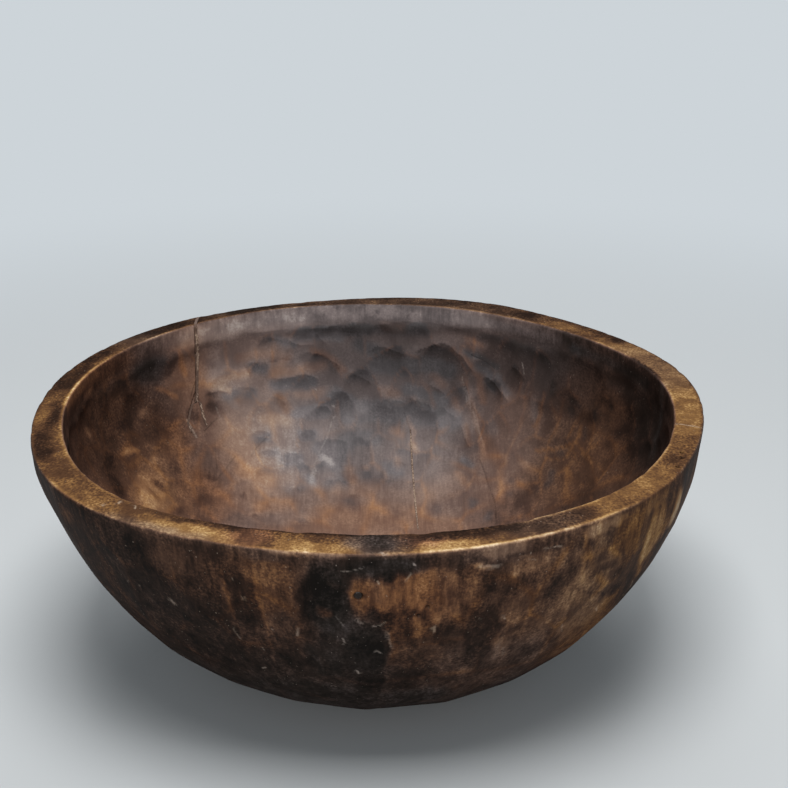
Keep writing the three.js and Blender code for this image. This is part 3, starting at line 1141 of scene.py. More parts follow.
WALL_STROKES = (
    # Gold network on the outer right
    ((-56.4, -55.8, -55), (4, 22, 39), 1.6, 0.16, -0.1),
    ((-56, -52, -50), (22, 20.5, 23), 2.2, 0.14, -0.1),
    ((-49.2, -49.6, -49.8), (3, 16, 22), 1.5, 0.18, -0.1),
    ((-53.6, -53.8, -53.6), (2, 9, 18), 1.4, 0.15, -0.1),
    ((-50, -48, -46.3), (24, 29, 38), 1.8, 0.15, -0.1),
    ((-51.5, -49.5), (29.5, 31), 1.6, 0.10, 0.0),
    ((-39.2, -39.8, -40.2, -39.3, -37, -36), (10, 22, 33, 44, 58, 66), 2.6, 0.20, -0.1),
    ((-33.6, -34.5, -32.5), (13, 22, 42), 3.0, 0.14, 0.0),
    # Worn edges of the hewn flats
    ((-108.2, -108, -108.6, -109), (33, 57, 70, 90), 1.1, 0.13, -0.1),
    ((-102.2, -102.8, -103.1), (45, 58, 76), 1.2, 0.18, 0.0),
    ((-113.3, -113), (18, 52), 1.1, 0.10, -0.2),
    ((-130.3, -129.3, -129), (22, 40, 58), 1.8, 0.09, 0.1),
    ((-139.2, -138.8), (12, 27), 2.0, 0.06, 0.2),
    ((-87.6, -87.4), (54, 67), 1.1, 0.14, 0.2),
    ((-88.3, -88.2), (78, 112), 1.1, 0.08, 0.0),
    ((-80.2, -80.1), (40, 52), 1.2, 0.10, 0.0),
    ((-68.5, -67.8), (60, 92), 1.6, 0.08, 0.1),
    # Dark lines between flats, and a reddish streak
    ((-56.5, -53, -50, -47.5), (42, 50, 55.5, 61), 1.2, -0.16, 0.0),
    ((-79.4, -79.2), (14, 36), 1.1, -0.08, 0.0),
    ((-85.3, -85.2), (14, 34), 1.0, -0.05, 0.0),
    ((-77.3, -76.9), (12, 30), 1.1, -0.06, 0.0),
    ((-44, -41.5, -39), (68, 70, 74), 1.5, 0.06, -0.5),
)
STROKES = ((in_hollow, HOLLOW_STROKES), (on_wall, WALL_STROKES))

# Crisp edges of tool cuts, seen from within the hollow or from outside: turns, arcs, reach and step of the
# tone on the right of the way the edge is drawn, then on the left of it. In the hollow, save at the dark
# patch left of the crack, the darker step is painted shade under the upper edge of a cut or of the smooth
# band, and the lighter step a painted highlight on the crest above it.
HOLLOW_EDGES = (
    # The biggest cut and those round it
    ((80.2, 79, 77.3, 75.3, 74, 72, 70.3, 69, 67, 66, 64.8, 63.5, 62.8),
     (38, 35.5, 32.5, 30.3, 28, 26.8, 28, 31.5, 34.5, 38, 41.5, 45.5, 49), 7.2, -0.13, 5.2, 0.07),
    ((90, 89, 87.7, 86, 84, 82, 80.3), (37, 34, 31.5, 32, 34.3, 36.5, 38), 6.4, -0.10, 5.2, 0.07),
    ((62, 61.2, 60, 58.5, 57.5, 56.5, 55, 53.5, 52.3),
     (49, 47.7, 47, 48, 50.5, 53.5, 56.5, 59.5, 61), 5.6, -0.14, 4.5, 0.09),
    ((57.5, 61, 65.5), (39.5, 35, 32), 2.4, -0.07, 4.5, 0.08),
    ((54.8, 53.5, 52, 50.5, 50), (34.5, 35.5, 38, 41.5, 44), 4.8, -0.11, 3, 0.04),
    ((75, 73.5, 71.5, 70.2), (56.5, 59, 61, 64), 4.8, -0.09, 6, 0.08),
    ((80.3, 78.5, 75.5, 74, 72.5), (67.5, 69.8, 71.2, 72.5, 77), 6.4, -0.10, 4.5, 0.05),
    ((84.5, 82, 80), (71, 70.8, 72.5), 4.8, -0.07, 4.5, 0.05),
    ((71, 69, 66, 64.8), (72, 76, 79.5, 81), 6.4, -0.08, 4.5, 0.05),
    ((65, 63.8, 62.5, 60.5, 58.5), (81, 86, 92, 98, 101), 4, -0.07, 5.2, 0.07),
    ((53.5, 57, 59.5, 61, 62.3), (103, 90, 80, 72, 60), 4, -0.04, 3, 0.05),
    # The lower edge of the smooth band
    ((124, 119, 117, 114, 110, 106, 102, 99, 96, 92, 88, 84, 80, 76, 72, 69, 65, 61, 57),
     (13, 12.5, 15, 15.5, 15.5, 17, 17, 16, 14.5, 13.5, 14, 14, 12.5, 11.5, 13, 14.5, 13, 10.5, 9.5),
     4.8, -0.06, 3.8, 0.03),
    # Cuts left of the middle
    ((114.8, 113, 110.8, 109.5), (23, 21.5, 22.5, 25), 4, -0.09, 3, 0.04),
    ((109, 108.6, 107.5, 106, 104.5, 102), (20, 24, 26.5, 28.8, 29.5, 29.5), 2.4, -0.09, 3.8, 0.08),
    ((102.3, 101.3, 100.3, 99.3), (20, 24, 27.5, 29.5), 3.2, -0.06, 3, 0.07),
    ((107.3, 106.5, 105, 103, 101, 99.5, 98, 96.8, 96),
     (38.5, 36.5, 35, 35.3, 36.5, 39.5, 43, 46.5, 50), 4.8, -0.11, 3.8, 0.04),
    ((114, 112.5, 110, 107, 105, 103.5, 102.3, 101.8),
     (48.5, 50.5, 51.5, 50.5, 50.3, 52, 55, 60), 7.2, -0.09, 4.5, 0.08),
    ((95.5, 94, 92, 90.5, 88.8), (50.5, 51.5, 53.5, 56, 60), 6.4, -0.09, 3.8, 0.05),
    ((99.8, 98, 96, 95, 94.5), (64, 64.5, 65, 68, 70.5), 3.2, -0.07, 3, 0.04),
    ((104.8, 103, 101.3, 100.4, 100.2), (73.5, 73.8, 74.2, 77, 80), 6.4, -0.09, 3.8, 0.07),
    ((108.5, 106.8, 105.3, 105), (92, 91, 92.5, 97), 4.8, -0.09, 3, 0.04),
    ((118.5, 119.3, 119.8), (46, 42, 37.5), 4.8, -0.08, 3.8, 0.07),
    ((107.8, 110, 114), (39.5, 38, 38.5), 2.4, -0.07, 4.5, 0.07),
    ((119.5, 117, 114.5, 113.6), (37.5, 36.5, 38, 42), 4.8, -0.07, 3, 0.05),
    ((123, 121, 119, 117.3), (87, 85.5, 86.5, 90), 4.8, -0.08, 3, 0.05),
    ((125, 122, 119.5, 117.5), (54, 52.5, 53.5, 57), 4.8, -0.06, 3, 0.05),
    ((122, 119.5, 117.5), (101.5, 100.5, 104), 4, -0.07, 3, 0.05),
    ((117.5, 114.5, 112, 111), (108, 107, 109, 114), 4.8, -0.06, 3, 0.05),
    ((105.5, 102, 98, 96), (101, 100, 100.5, 104), 5.6, -0.06, 3.8, 0.05),
    ((105, 102, 99.5), (134, 133, 135.5), 4.8, -0.07, 3, 0.07),
    ((119.5, 117, 114.8), (135.5, 135, 139), 4, -0.07, 3, 0.05),
    ((129.5, 127, 124.5), (50.5, 51, 54), 4.8, -0.11, 2.2, 0.08),
    ((82.5, 80, 77.5), (119.5, 118.5, 121), 4.8, -0.06, 3, 0.05),
    # Small cuts low down
    ((137.5, 136, 134.5, 133.2), (130, 127.5, 128, 131), 5, -0.10, 3, 0.06),
    ((139.5, 137.5, 135.5), (147, 145.5, 148), 5, -0.10, 3, 0.05),
    ((98.5, 96.5, 94.5), (149, 147, 149.5), 5, -0.10, 3, 0.05),
    # The dark patch left of the crack
    ((151.5, 148, 145, 140.5, 137.5, 136, 136.5), (19, 25, 29, 33, 29.5, 21, 13.5), 4, 0.05, 5, -0.05),
)
WALL_EDGES = (
    # The black block and the gold panel
    ((-101.6, -101.4, -101.6, -100.8, -99.8), (48, 36, 28, 20, 12), 9, -0.08, 5, 0.05),
    ((-93.8, -93.6, -93.2), (17, 28, 38), 5, -0.06, 8, 0.06),
    ((-77.5, -80, -83, -84.5, -87, -90, -93.5), (11, 9.5, 10, 14, 16.5, 17.5, 17), 5, -0.04, 7, 0.05),
    ((-93, -90.5, -88, -85, -83), (38, 38, 38.5, 40, 41), 5, -0.05, 5, 0.03),
    ((-87.6, -87.8, -88.6, -88.8, -88.7), (57, 68, 78, 95, 110), 8, -0.05, 6, 0.06),
    # The gold wedge and the dark panel left of it
    ((-110.5, -110, -108.4, -107.7), (12, 19, 21, 26), 5, -0.07, 5, 0.05),
    ((-106.5, -105.5, -103.5, -102.3), (26.5, 22.5, 20.5, 20), 5, -0.05, 5, 0.04),
    ((-113.2, -113, -113.2, -112.8), (60, 45, 30, 20), 8, -0.04, 3, 0.04),
    ((-108.3, -108.2, -108, -108.4), (24, 40, 55, 62), 8, -0.04, 5, 0.06),
    ((-108.5, -106.5, -104.3), (80, 78.5, 80), 6, -0.05, 4, 0.04),
    ((-130, -130.2, -129.8), (24, 14, 6), 8, -0.05, 3, 0.04),
    # Panels at the right
    ((-73, -73.3, -73.5), (33, 24, 17), 5, -0.08, 3, 0.05),
    ((-70.6, -70.5, -70.6), (18, 26, 33), 4, -0.07, 3, 0.06),
    ((-69.3, -67.5, -67.3, -67.5), (21, 22.5, 30, 37), 5, -0.07, 6, 0.05),
    ((-57.2, -56.7, -56.8), (24, 32, 38), 8, -0.07, 3, 0.06),
    ((-69.9, -69.6, -69), (66, 80, 92), 8, -0.05, 6, 0.05),
    ((-74, -74.3, -74.5), (92, 78, 68), 6, -0.04, 5, 0.03),
)

# Crisp edges of worn patches on the rim, seen from outside, with arcs out from the hollow
RIM_EDGES = (
    ((-52, -51.4, -52.2), (1, 8, 15), 8, -0.08, 6, 0.07),
    ((-74, -78, -82, -85), (11.5, 9.5, 9, 12), 4, -0.06, 5, 0.08),
    ((-91, -92.5, -93), (11, 6, 1), 6, -0.06, 4, 0.06),
    ((-110.5, -111, -111.5), (17, 9, 4), 6, -0.07, 8, 0.05),
    ((-105.5, -105), (10, 17), 4, -0.05, 6, 0.05),
    ((173.5, 173, 174), (3, 9, 15), 8, -0.05, 5, 0.06),
    ((-171.5, -172), (15, 6), 6, -0.05, 5, 0.06),
)

# Pale flecks and scratches: turns, arcs or shares across the rim, half width and strength
RIM_PALE = (
    ((-13.1, -13.5), (0.06, 1.0), 0.6, 0.80),
    ((-134.6, -134.3), (0.18, 0.30), 0.7, 0.75),
    ((-131.5, -130.9), (0.12, 0.22), 0.6, 0.70),
    ((-135.6, -135.5), (0.62, 0.66), 0.6, 0.50),
    ((-88.5, -88.2), (0.92, 1.0), 0.8, 0.65),
)
WALL_PALE = (
    ((-94.4, -92.6, -91), (10.2, 9.2, 8.0), 0.40, 0.35),
    ((-89.1, -88.9), (16.6, 18.0), 0.58, 0.65),
    ((-83.9, -83.7), (6.0, 6.6), 0.58, 0.55),
    ((-84.2, -84.8), (12.0, 15.5), 0.58, 0.35),
    ((-80.9, -80.3, -80.4), (53, 51.5, 55.5), 0.79, 0.45),
    ((-90.3, -89.2, -88.3), (49.2, 48, 45), 0.50, 0.45),
    ((-96, -95.4, -94.9), (42, 46, 49.5), 0.43, 0.25),
    ((-92.8, -92.2), (44.5, 46.5), 1.01, 0.22),
    ((-87.9, -87.6), (54, 66), 0.72, 0.22),
    ((-93.8, -93.5), (91, 94), 0.65, 0.55),
    ((-89.9, -89.2), (70, 72.5), 0.65, 0.35),
    ((-95.4, -95.2), (60, 63), 0.58, 0.40),
    ((-112.4, -111.7), (99.3, 98.3), 0.50, 0.60),
    ((-114.3, -113.8), (61, 69), 0.58, 0.28),
    ((-124.8, -124.2), (48.5, 51.5), 1.22, 0.40),
    ((-102.6, -103), (54, 59), 0.65, 0.40),
    ((-107.2, -107), (57, 58), 0.50, 0.35),
    ((-111.7, -111.6), (22, 23), 0.43, 0.40),
    ((-110.7, -110.5), (33.5, 34.5), 0.50, 0.30),
    ((-133.3, -132.6), (45.5, 43.5), 0.43, 0.30),
    ((-130.9, -130.6), (46, 44.8), 0.43, 0.30),
    ((-110.4, -110.3), (76, 78), 0.50, 0.35),
    ((-68.7, -68.4), (51.5, 53), 0.50, 0.65),
    ((-73.0, -72.9), (48.6, 49.6), 0.43, 0.50),
    ((-55.7, -55.2, -54.6), (73, 78, 82), 0.43, 0.50),
    ((-47.4, -46.4), (73, 77.5), 0.65, 0.60),
    ((-66.9, -66.3), (82, 90), 0.86, 0.22),
    ((-73.8, -71), (12, 13), 1.01, 0.30),
    ((-63.4, -60.6), (7.9, 8.7), 0.50, 0.50),
    ((-66.1, -64.8), (12.4, 13.6), 0.40, 0.35),
    ((-37.4, -35.2), (68, 78), 0.72, 0.45),
    ((-41.8, -38.6), (96, 104), 0.50, 0.35),
    ((-38.2, -35), (78, 86), 0.43, 0.30),
)
HOLLOW_PALE = (
    ((104, 102.6), (115.5, 117), 2.2, 0.52),
    ((106, 105), (116, 116.5), 1.2, 0.30),
    ((108, 110.8), (124, 133.5), 1.8, 0.42),
    ((99.4, 102, 105.3, 108), (83, 98, 110, 121), 0.6, 0.30),
    ((66.5, 64, 61, 57), (49, 66, 76, 92), 0.8, 0.16),
    ((65, 62.5, 59.5), (56, 70, 82), 0.6, 0.18),
    ((51.6, 50.6), (31, 38), 0.4, 0.40),
    ((138.2, 137.8), (64, 77), 0.9, 0.32),
    ((129.2, 129), (62, 69), 0.7, 0.22),
    ((116.6, 116.4), (75.6, 76.0), 0.6, 0.45),
    ((99.4, 99.1), (74, 75), 0.8, 0.40),
    ((118.9, 118.7), (72, 73), 0.6, 0.35),
    ((124.2, 124.1), (54.6, 55.0), 0.5, 0.45),
    ((110.4, 110.3), (56.5, 57.0), 0.5, 0.45),
    ((103.2, 103.1), (61.5, 62.0), 0.5, 0.45),
)
PALE_MARKS = ((on_rim, RIM_PALE), (on_wall, WALL_PALE), (in_hollow, HOLLOW_PALE))

# Fine dark hairlines, in the same form
HOLLOW_DARK = (
    ((55, 51, 49, 44, 40, 36), (107, 117, 122, 131, 138, 147), 0.5, 0.38),
    ((80.4, 79, 78, 77.2, 75.8), (80, 88, 96, 105, 120), 0.5, 0.22),
    ((64.8, 61, 58.5), (32.5, 35.5, 39), 0.5, 0.50),
    ((134.8, 133, 130), (75, 73, 69.5), 0.6, 0.40),
    ((132.4, 133.4, 134.5), (40, 44, 49), 0.5, 0.45),
    ((118, 122.8, 125.5), (90.5, 97.5, 103), 0.5, 0.32),
    ((130, 134.8, 139.5), (99.5, 106, 110.5), 0.5, 0.35),
    ((133.2, 135.5, 137.2), (84, 95, 103.5), 0.5, 0.28),
)
DARK_MARKS = ((in_hollow, HOLLOW_DARK),)

# Gold lines along the rim's edges: how far each lies on the rim's side of its corner, and its half width.
# Along the front of the outer edge the line is partly a painted highlight.
INNER_LINE = (0.5, 1.25)
OUTER_LINE = (0.4, 1.2)

LINE_STEP = 0.8  # between the points of a painted line


def line_points(place_on, turns, arcs):
    """Points close together along a line through places on the bowl."""
    corners = place_on(np.array(turns, float), np.array(arcs, float))
    length = np.concatenate([[0], np.cumsum(np.linalg.norm(np.diff(corners, axis=0), axis=1))])
    at = np.linspace(0, length[-1], max(3, round(length[-1] / LINE_STEP) + 1))
    return place_on(np.interp(at, length, turns), np.interp(at, length, arcs))


def mark_lines(marks):
    """The points along every line of some marks."""
    return np.vstack([line_points(place_on, *mark[:2]) for place_on, group in marks for mark in group])


def cover_of(points, line, half_width, power):
    """The points near a line, and how strongly it covers each."""
    reach = 2.5 * half_width
    near = np.nonzero(((points > line.min(0) - reach) & (points < line.max(0) + reach)).all(1))[0]
    away = np.linalg.norm(points[near, None] - line[None], axis=2).min(1)
    return near, np.exp(-(away / half_width) ** power)


def marked(points, marks):
    """How strongly the marks cover each point."""
    cover = np.zeros(len(points))
    for place_on, group in marks:
        for turns, arcs, half_width, strength in group:
            near, share = cover_of(points, line_points(place_on, turns, arcs), half_width, 4)
            cover[near] = np.maximum(cover[near], strength * share)
    return cover


def stroked(points):
    """The steps of tone and greyness that the soft strokes give each point."""
    tone = np.zeros(len(points))
    grey = np.zeros(len(points))
    for place_on, group in STROKES:
        for turns, arcs, half_width, tone_step, grey_step in group:
            near, share = cover_of(points, line_points(place_on, turns, arcs), half_width, 3)
            tone[near] += tone_step * share
            grey[near] += grey_step * share
    return tone, grey


def edged(turn, arc, edges, place_on, rightwards):
    """The step of tone beside crisp edges. Rightwards is 1 where turns grow to the right, as seen, and -1
    where they grow to the left."""
    step = np.zeros(len(turn))
    for turns, arcs, reach_right, step_right, reach_left, step_left in edges:
        scale = math.radians(np.hypot(*place_on(turns[0], arcs[0])[:2])) * rightwards
        corners = np.stack([np.array(turns) * scale, np.array(arcs, float)], 1)
        length = arc_length(corners)
        at = np.linspace(0, length[-1], max(6, round(length[-1] / LINE_STEP) + 1))
        line = np.stack([np.interp(at, length, corners[:, k]) for k in (0, 1)], 1)
        spot = np.stack([turn * scale, arc], 1)
        reach = 3 * max(reach_right, reach_left)
        near = np.nonzero(((spot > line.min(0) - reach) & (spot < line.max(0) + reach)).all(1))[0]
        offset = spot[near, None] - line[None]
        away = np.hypot(offset[..., 0], offset[..., 1])
        closest = away.argmin(1)
        offset = offset[np.arange(len(near)), closest]
        away = away.min(1)
        way = np.gradient(line, axis=0)[closest]
        side = smooth(np.sign(way[:, 0] * offset[:, 1] - way[:, 1] * offset[:, 0]) * away, -0.5, 0.5)
        share = closest / (len(line) - 1)
        taper = smooth(share, 0, 0.18) * (1 - smooth(share, 0.82, 1))
        right = side * step_right * np.exp(-away / reach_right)
        step[near] += taper * (right + (1 - side) * step_left * np.exp(-away / reach_left))
    return step


def brushed(turn, arc, painting, square=2):
    """A painted value. A higher square gives the dabs fuller corners."""
    start, dabs = painting
    value = np.full(len(turn), start)
    for at_turn, at_arc, half_turn, half_arc, target in dabs:
        aside = wrapped(turn - at_turn)
        spread = np.abs(aside / half_turn) ** square + np.abs((arc - at_arc) / half_arc) ** square
        value += np.exp(-spread ** 2) * (target - value)
    return value


def brushed_edge(turn, painting):
    """A painted value along one of the rim's edges."""
    start, dabs = painting
    rows = [(at, 0, half_turn, 1, target) for at, half_turn, target in dabs]
    return brushed(turn, np.zeros(len(turn)), (start, rows))


def paint(points, turn, along, crest, high):
    """The body's painted layers: tone, two hues, five kinds of unevenness, sheen, pale marks and gaps."""
    arc_in = INNER_CORNER - along
    arc_out = along - OUTER_CORNER
    share = np.clip(-arc_in / (OUTER_CORNER - INNER_CORNER), 0, 1)
    hollow = 1 - smooth(-arc_in, -0.6, 0.8)
    wall = smooth(arc_out, -0.8, 0.6)
    rim = np.clip(1 - hollow - wall, 0, 1)

    # Places that wander, so that no dab or stroke has a clean outline
    broad = noise_at(points, 24, 11)
    small = noise_at(points, 8, 12)
    teeth = noise_at(points * np.array([1, 1, 0.25]), 4.5, 14)
    turn_in = turn + broad + small * 0.7
    turn_out = turn + broad * 0.5 + small * 0.5
    turn_rim = turn + small * 1.6
    near_in = arc_in + (broad * 4 + teeth * 1.5) * smooth(arc_in, 8, 30)
    near_out = arc_out + (broad * 4 + teeth * 5) * smooth(arc_out, 0, 14)
    near_share = share + noise_at(points, 6, 16) * 0.16
    wandered = points + 1.4 * np.stack([noise_at(points, 7, seed) for seed in (21, 22, 23)], 1)

    # Tone of the hollow, the wall and the rim
    crest = crest * np.clip(0.55 + 1.1 * noise_at(points, 15, 17), 0, 1)
    # Painted shade in the upper end of each gouge cut and painted light towards its lower end
    shade = smooth(high, 0.1, 0.95) * (1 - crest)
    light = smooth(-high, 0.1, 0.9) * (1 - crest)
    inside = brushed(turn_in, near_in, HOLLOW_TONE)
    inside += crest * brushed(turn, arc_in, HOLLOW_CREST)
    inside += (0.6 * light - shade) * brushed(turn, arc_in, HOLLOW_SHADE)
    # Painted shade under the upper edges of the cuts and painted highlights on the crests above them
    inside += edged(turn + small * 0.15, arc_in + small * 0.5, HOLLOW_EDGES, in_hollow, -1)
    outside = brushed(turn_out, near_out, WALL_TONE, 3) + crest * brushed(turn, arc_out, WALL_CREST)
    outside += edged(turn + small * 0.15, arc_out + teeth * 1.5, WALL_EDGES, on_wall, 1)
    around = np.stack([np.cos(np.radians(turn)), np.sin(np.radians(turn)), share * 0.03], 1) * OUTER_HALF[0]
    stripe = noise_at(around, 4.5, 18) + 0.6 * noise_at(around, 11, 19)
    top = brushed(turn_rim, near_share, RIM_TONE)
    top += stripe * brushed(turn, share, RIM_STRIPE)
    top += edged(turn + small * 0.2, share * RIM_WIDTH + small, RIM_EDGES, across_rim, 1)
    tone = hollow * inside + wall * outside + rim * top

    # The rim's worn edges, with a painted highlight along the front of the outer edge
    wear = np.clip(0.85 + 0.5 * noise_at(points, 8, 15), 0, 1)
    edges = ((arc_in, INNER_LINE, INNER_EDGE_TONE), (arc_out, OUTER_LINE, OUTER_EDGE_TONE))
    for arc, (inset, half_width), painting in edges:
        line = np.exp(-((arc + inset) / half_width) ** 2) * wear
        tone += line * (brushed_edge(turn_rim, painting) - tone)

    # Hues
    # The painted shade in the gouge cuts is also greyed
    grey = hollow * (brushed(turn_in, near_in, HOLLOW_GREY) - 0.3 * crest + 0.15 * shade)
    grey += wall * (brushed(turn_out, near_out, WALL_GREY, 3) - 0.3 * crest)
    grey += rim * brushed(turn_rim, near_share, RIM_GREY)
    red = hollow * brushed(turn_in, near_in, HOLLOW_RED)
    red += wall * brushed(turn_out, near_out, WALL_RED)
    red += rim * brushed(turn_rim, near_share, RIM_RED)
    tone_step, grey_step = stroked(wandered)

    # Unevenness
    mottle = hollow * brushed(turn, arc_in, HOLLOW_MOTTLE) + wall * brushed(turn, arc_out, WALL_MOTTLE)
    mottle += rim * brushed(turn, share, RIM_MOTTLE)
    band = 1 - smooth(arc_in, 8, 16)
    streak = hollow * (0.05 + 0.30 * band) + wall * brushed(turn_out, near_out, WALL_STREAK)
    speckle = hollow * brushed(turn, arc_in, HOLLOW_SPECKLE) + wall * 1.1 + rim * (1.9 - 0.9 * tone)

    # Dark hairlines, pits and cracks
    gap = marked(points, DARK_MARKS)
    for pits, radius, _, dark, _ in PITS:
        gap = np.maximum(gap, dark * pit_share(points, pits, radius, PIT_DARKENING_STEEPNESS))
    gap = np.maximum(gap, 0.38 * crack_gap(points))
    return {
        "tone": tone + tone_step,
        "grey": np.clip(grey + grey_step, 0, 1),
        "red": red,
        "mottle": mottle,
        "flow": wall * 0.34,
        "streak": streak,
        "grain": hollow * (0.08 + 0.18 * smooth(arc_in, 60, 110)),
        "speckle": speckle,
        "sheen": hollow * 0.14 + wall * 0.14 + rim * 0.02,
        "pale": marked(points + (wandered - points) * 0.3, PALE_MARKS),
        "gap": gap,
    }


def mesh_object(name, bm, finish, smooth_faces=True):
    """A finished piece from a bmesh in millimetres."""
    bmesh.ops.scale(bm, vec=(MM, MM, MM), verts=bm.verts[:])
    for face in bm.faces:
        face.smooth = smooth_faces
    mesh = bpy.data.meshes.new(name)
    bm.to_mesh(mesh)
    bm.free()
    mesh.materials.append(finish)
    piece = bpy.data.objects.new(name, mesh)
    bpy.context.scene.collection.objects.link(piece)
    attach(piece, "root")
    return piece


def add_layer(mesh, name, values):
    layer = mesh.attributes.new(name, "FLOAT", "POINT")
    layer.data.foreach_set("value", np.asarray(values, np.float32))


def make_body(finish):
    """The carved body. Gives its surface without grooves and pits, for the fills to be laid on."""
    bm = spun_body()
    refine(bm, crack_points(), 3.6, 3)
    refine(bm, mark_lines(PALE_MARKS + DARK_MARKS), 1.4, 2)
    refine(bm, np.vstack([pits for pits, *_ in PITS]), 3.6, 3)
    refine(bm, mark_lines(((in_hollow, HOLLOW_EDGES), (on_wall, WALL_EDGES))), 1.3, 1)
    bm.normal_update()
    bm.verts.index_update()
    layer = bm.verts.layers.float["along"]
    points = np.array([vert.co[:] for vert in bm.verts])
    normals = np.array([vert.normal[:] for vert in bm.verts])
    along = np.array([vert[layer] for vert in bm.verts])
    turn = np.degrees(np.arctan2(points[:, 1], points[:, 0]))
    carved, crest, high = carve(points, normals, along)
    painted = paint(points, turn, along, crest, high)
    faces = [[vert.index for vert in face.verts] for face in bm.faces]
    surface = BVHTree.FromPolygons([tuple(point) for point in carved], faces)
    sunk = GROOVE_DEPTH * crack_gap(points)
    for pits, radius, depth, _, steepness in PITS:
        sunk += depth * pit_share(points, pits, radius, steepness)
    move_to(bm, carved - normals * sunk[:, None])
    piece = mesh_object("carved_body", bm, finish)
    for name, values in painted.items():
        add_layer(piece.data, name, values)
    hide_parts("bowl_body")
    return surface


# The fills

# How pale each fill shows: drops below its top, and the share at each
RUN_SHOW = ((0, 3, 8, 30, 34, 46, 49, 52), (0.2, 0.45, 0.6, 0.55, 0.4, 0.3, 0.5, 0.4))
LEFT_SHOW = ((0, 9, 12, 18, 22), (0.15, 0.1, 0.45, 0.5, 0.2))
RIGHT_SHOW = ((0, 4, 8, 20), (0.3, 0.4, 0.65, 0.5))
CHECK_SHOW = ((0, 8, 20, 30, 42), (0.45, 0.75, 0.6, 0.8, 0.55))

# Thickness of the fills, the step of their rows, and where the crack's rows turn over the rim
CRACK_FILL_THICKNESS = 1.8
CHECK_FILL_THICKNESS = 1.5
ROW_STEP = 0.8
PIVOT_Y = float(np.mean([on_rim(CRACK_TURN, share)[1] for share in (0.3, 0.7)]))
PIVOT_LEVEL = BOWL_HEIGHT - 7.0

# Half section of the stopping as shares of its radius and levels, and how deep it sits
STOPPING_SECTION = ((0, 0.5), (0.5, 0.45), (0.8, 0.25), (0.95, 0.0), (1.0, -0.35), (1.0, -2.5), (0, -2.5))
STOPPING_SINK = 0.9
STOPPING_STEPS = 32
WELL_OUTSIDE = 260  # a radius beyond the wall, from which the stopping's place is looked for


def cast(surface, start, towards, proud=0.0):
    """Where a line from a start meets the wood, raised out of it by a proud height."""
    point, normal, _, _ = surface.ray_cast(Vector(start), Vector(towards).normalized())
    return np.array(point + normal * proud)


def fill_grid(rows, columns):
    """A flat grid as rows of vertices, ready to be laid on the wood."""
    bm = bmesh.new()
    edge = bm.verts.layers.float.new("edge")
    show = bm.verts.layers.float.new("show")
    bmesh.ops.create_grid(bm, x_segments=columns - 1, y_segments=rows - 1, size=1)
    order = sorted(bm.verts, key=lambda vert: (round(vert.co.y, 5), round(vert.co.x, 5)))
    return bm, edge, show, [order[row * columns:(row + 1) * columns] for row in range(rows)]


def crumbled(share, at):
    """A share across a fill, drawn in where its edge has crumbled away at a place along it."""
    spot = np.array([[9.0 * np.sign(share), 0.0, at]])
    return share * (1 - 0.9 * max(0.0, float(noise_at(spot, 2.4, 31)[0])))


def edge_of(share):
    """How near a fill's edge a share across it is, more so at the left."""
    return max(-2 * share, share)


def thicken(bm, depth):
    """Gives a sheet that is laid on the wood its depth."""
    bmesh.ops.recalc_face_normals(bm, faces=bm.faces[:])
    bmesh.ops.solidify(bm, geom=bm.faces[:], thickness=depth)
    bmesh.ops.recalc_face_normals(bm, faces=bm.faces[:])


def crack_path():
    """Rows of the crack's fill, from the outside over the rim and down to the fork, each with its level or,
    on the rim, its lean."""
    path = [("wall", level) for level in np.linspace(CROSSING_LEVEL + 0.3, PIVOT_LEVEL, 3)]
    path += [("rim", lean) for lean in np.linspace(80, -80, 15)]
    path += [("run", level) for level in np.arange(PIVOT_LEVEL - 1.0, FORK_LEVEL - 3.0, -ROW_STEP)]
    path += [("fork", level) for level in np.arange(FORK_LEVEL - 3.8, RIGHT_BRANCH[-1, 1] + 0.3, -ROW_STEP)]
    return path


def crack_point(surface, kind, x, at):
    """A point of the crack's fill, laid on the wood at a level or, on the rim, at a lean."""
    if kind == "rim":
        lean = math.radians(at)
        return cast(surface, (x, PIVOT_Y, PIVOT_LEVEL), (0, math.sin(lean), math.cos(lean)), FILL_PROUD)
    start = PIVOT_Y if kind == "wall" else 0
    return cast(surface, (x, start, at), (0, 1, 0), FILL_PROUD)


def make_crack_filler(surface, finish):
    columns = 10
    half = columns // 2
    path = crack_path()
    bm, edge, show, rows = fill_grid(len(path), columns)
    for row, (kind, at) in zip(rows, path):
        for column, vert in enumerate(row):
            share = column / (columns - 1) - 0.5
            if kind == "fork":
                run, bare = (LEFT_BRANCH, LEFT_SHOW) if column < half else (RIGHT_BRANCH, RIGHT_SHOW)
                across, width = at_level(run, at)
                share = (column % half) / (half - 1) - 0.5
                vert[show] = np.interp(FORK_LEVEL - at, *bare)
            elif kind == "run":
                across, width = at_level(CRACK_RUN, at)
                vert[show] = np.interp(BOWL_HEIGHT - at, *RUN_SHOW)
            else:
                across, width = CRACK_X, CROSSING_WIDTH
                vert[show] = np.interp(0, *RUN_SHOW)
            vert.co = crack_point(surface, kind, float(across + crumbled(share, at) * width), at)
            vert[edge] = edge_of(share)
    bridges = set()
    for row, (kind, _) in zip(rows, path):
        if kind == "fork":
            bridges |= set(row[half - 1].link_faces) & set(row[half].link_faces)
    bmesh.ops.delete(bm, geom=list(bridges), context="FACES")
    thicken(bm, CRACK_FILL_THICKNESS)
    piece = mesh_object("crack_fill", bm, finish, False)
    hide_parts("rear_left_crack_filler")


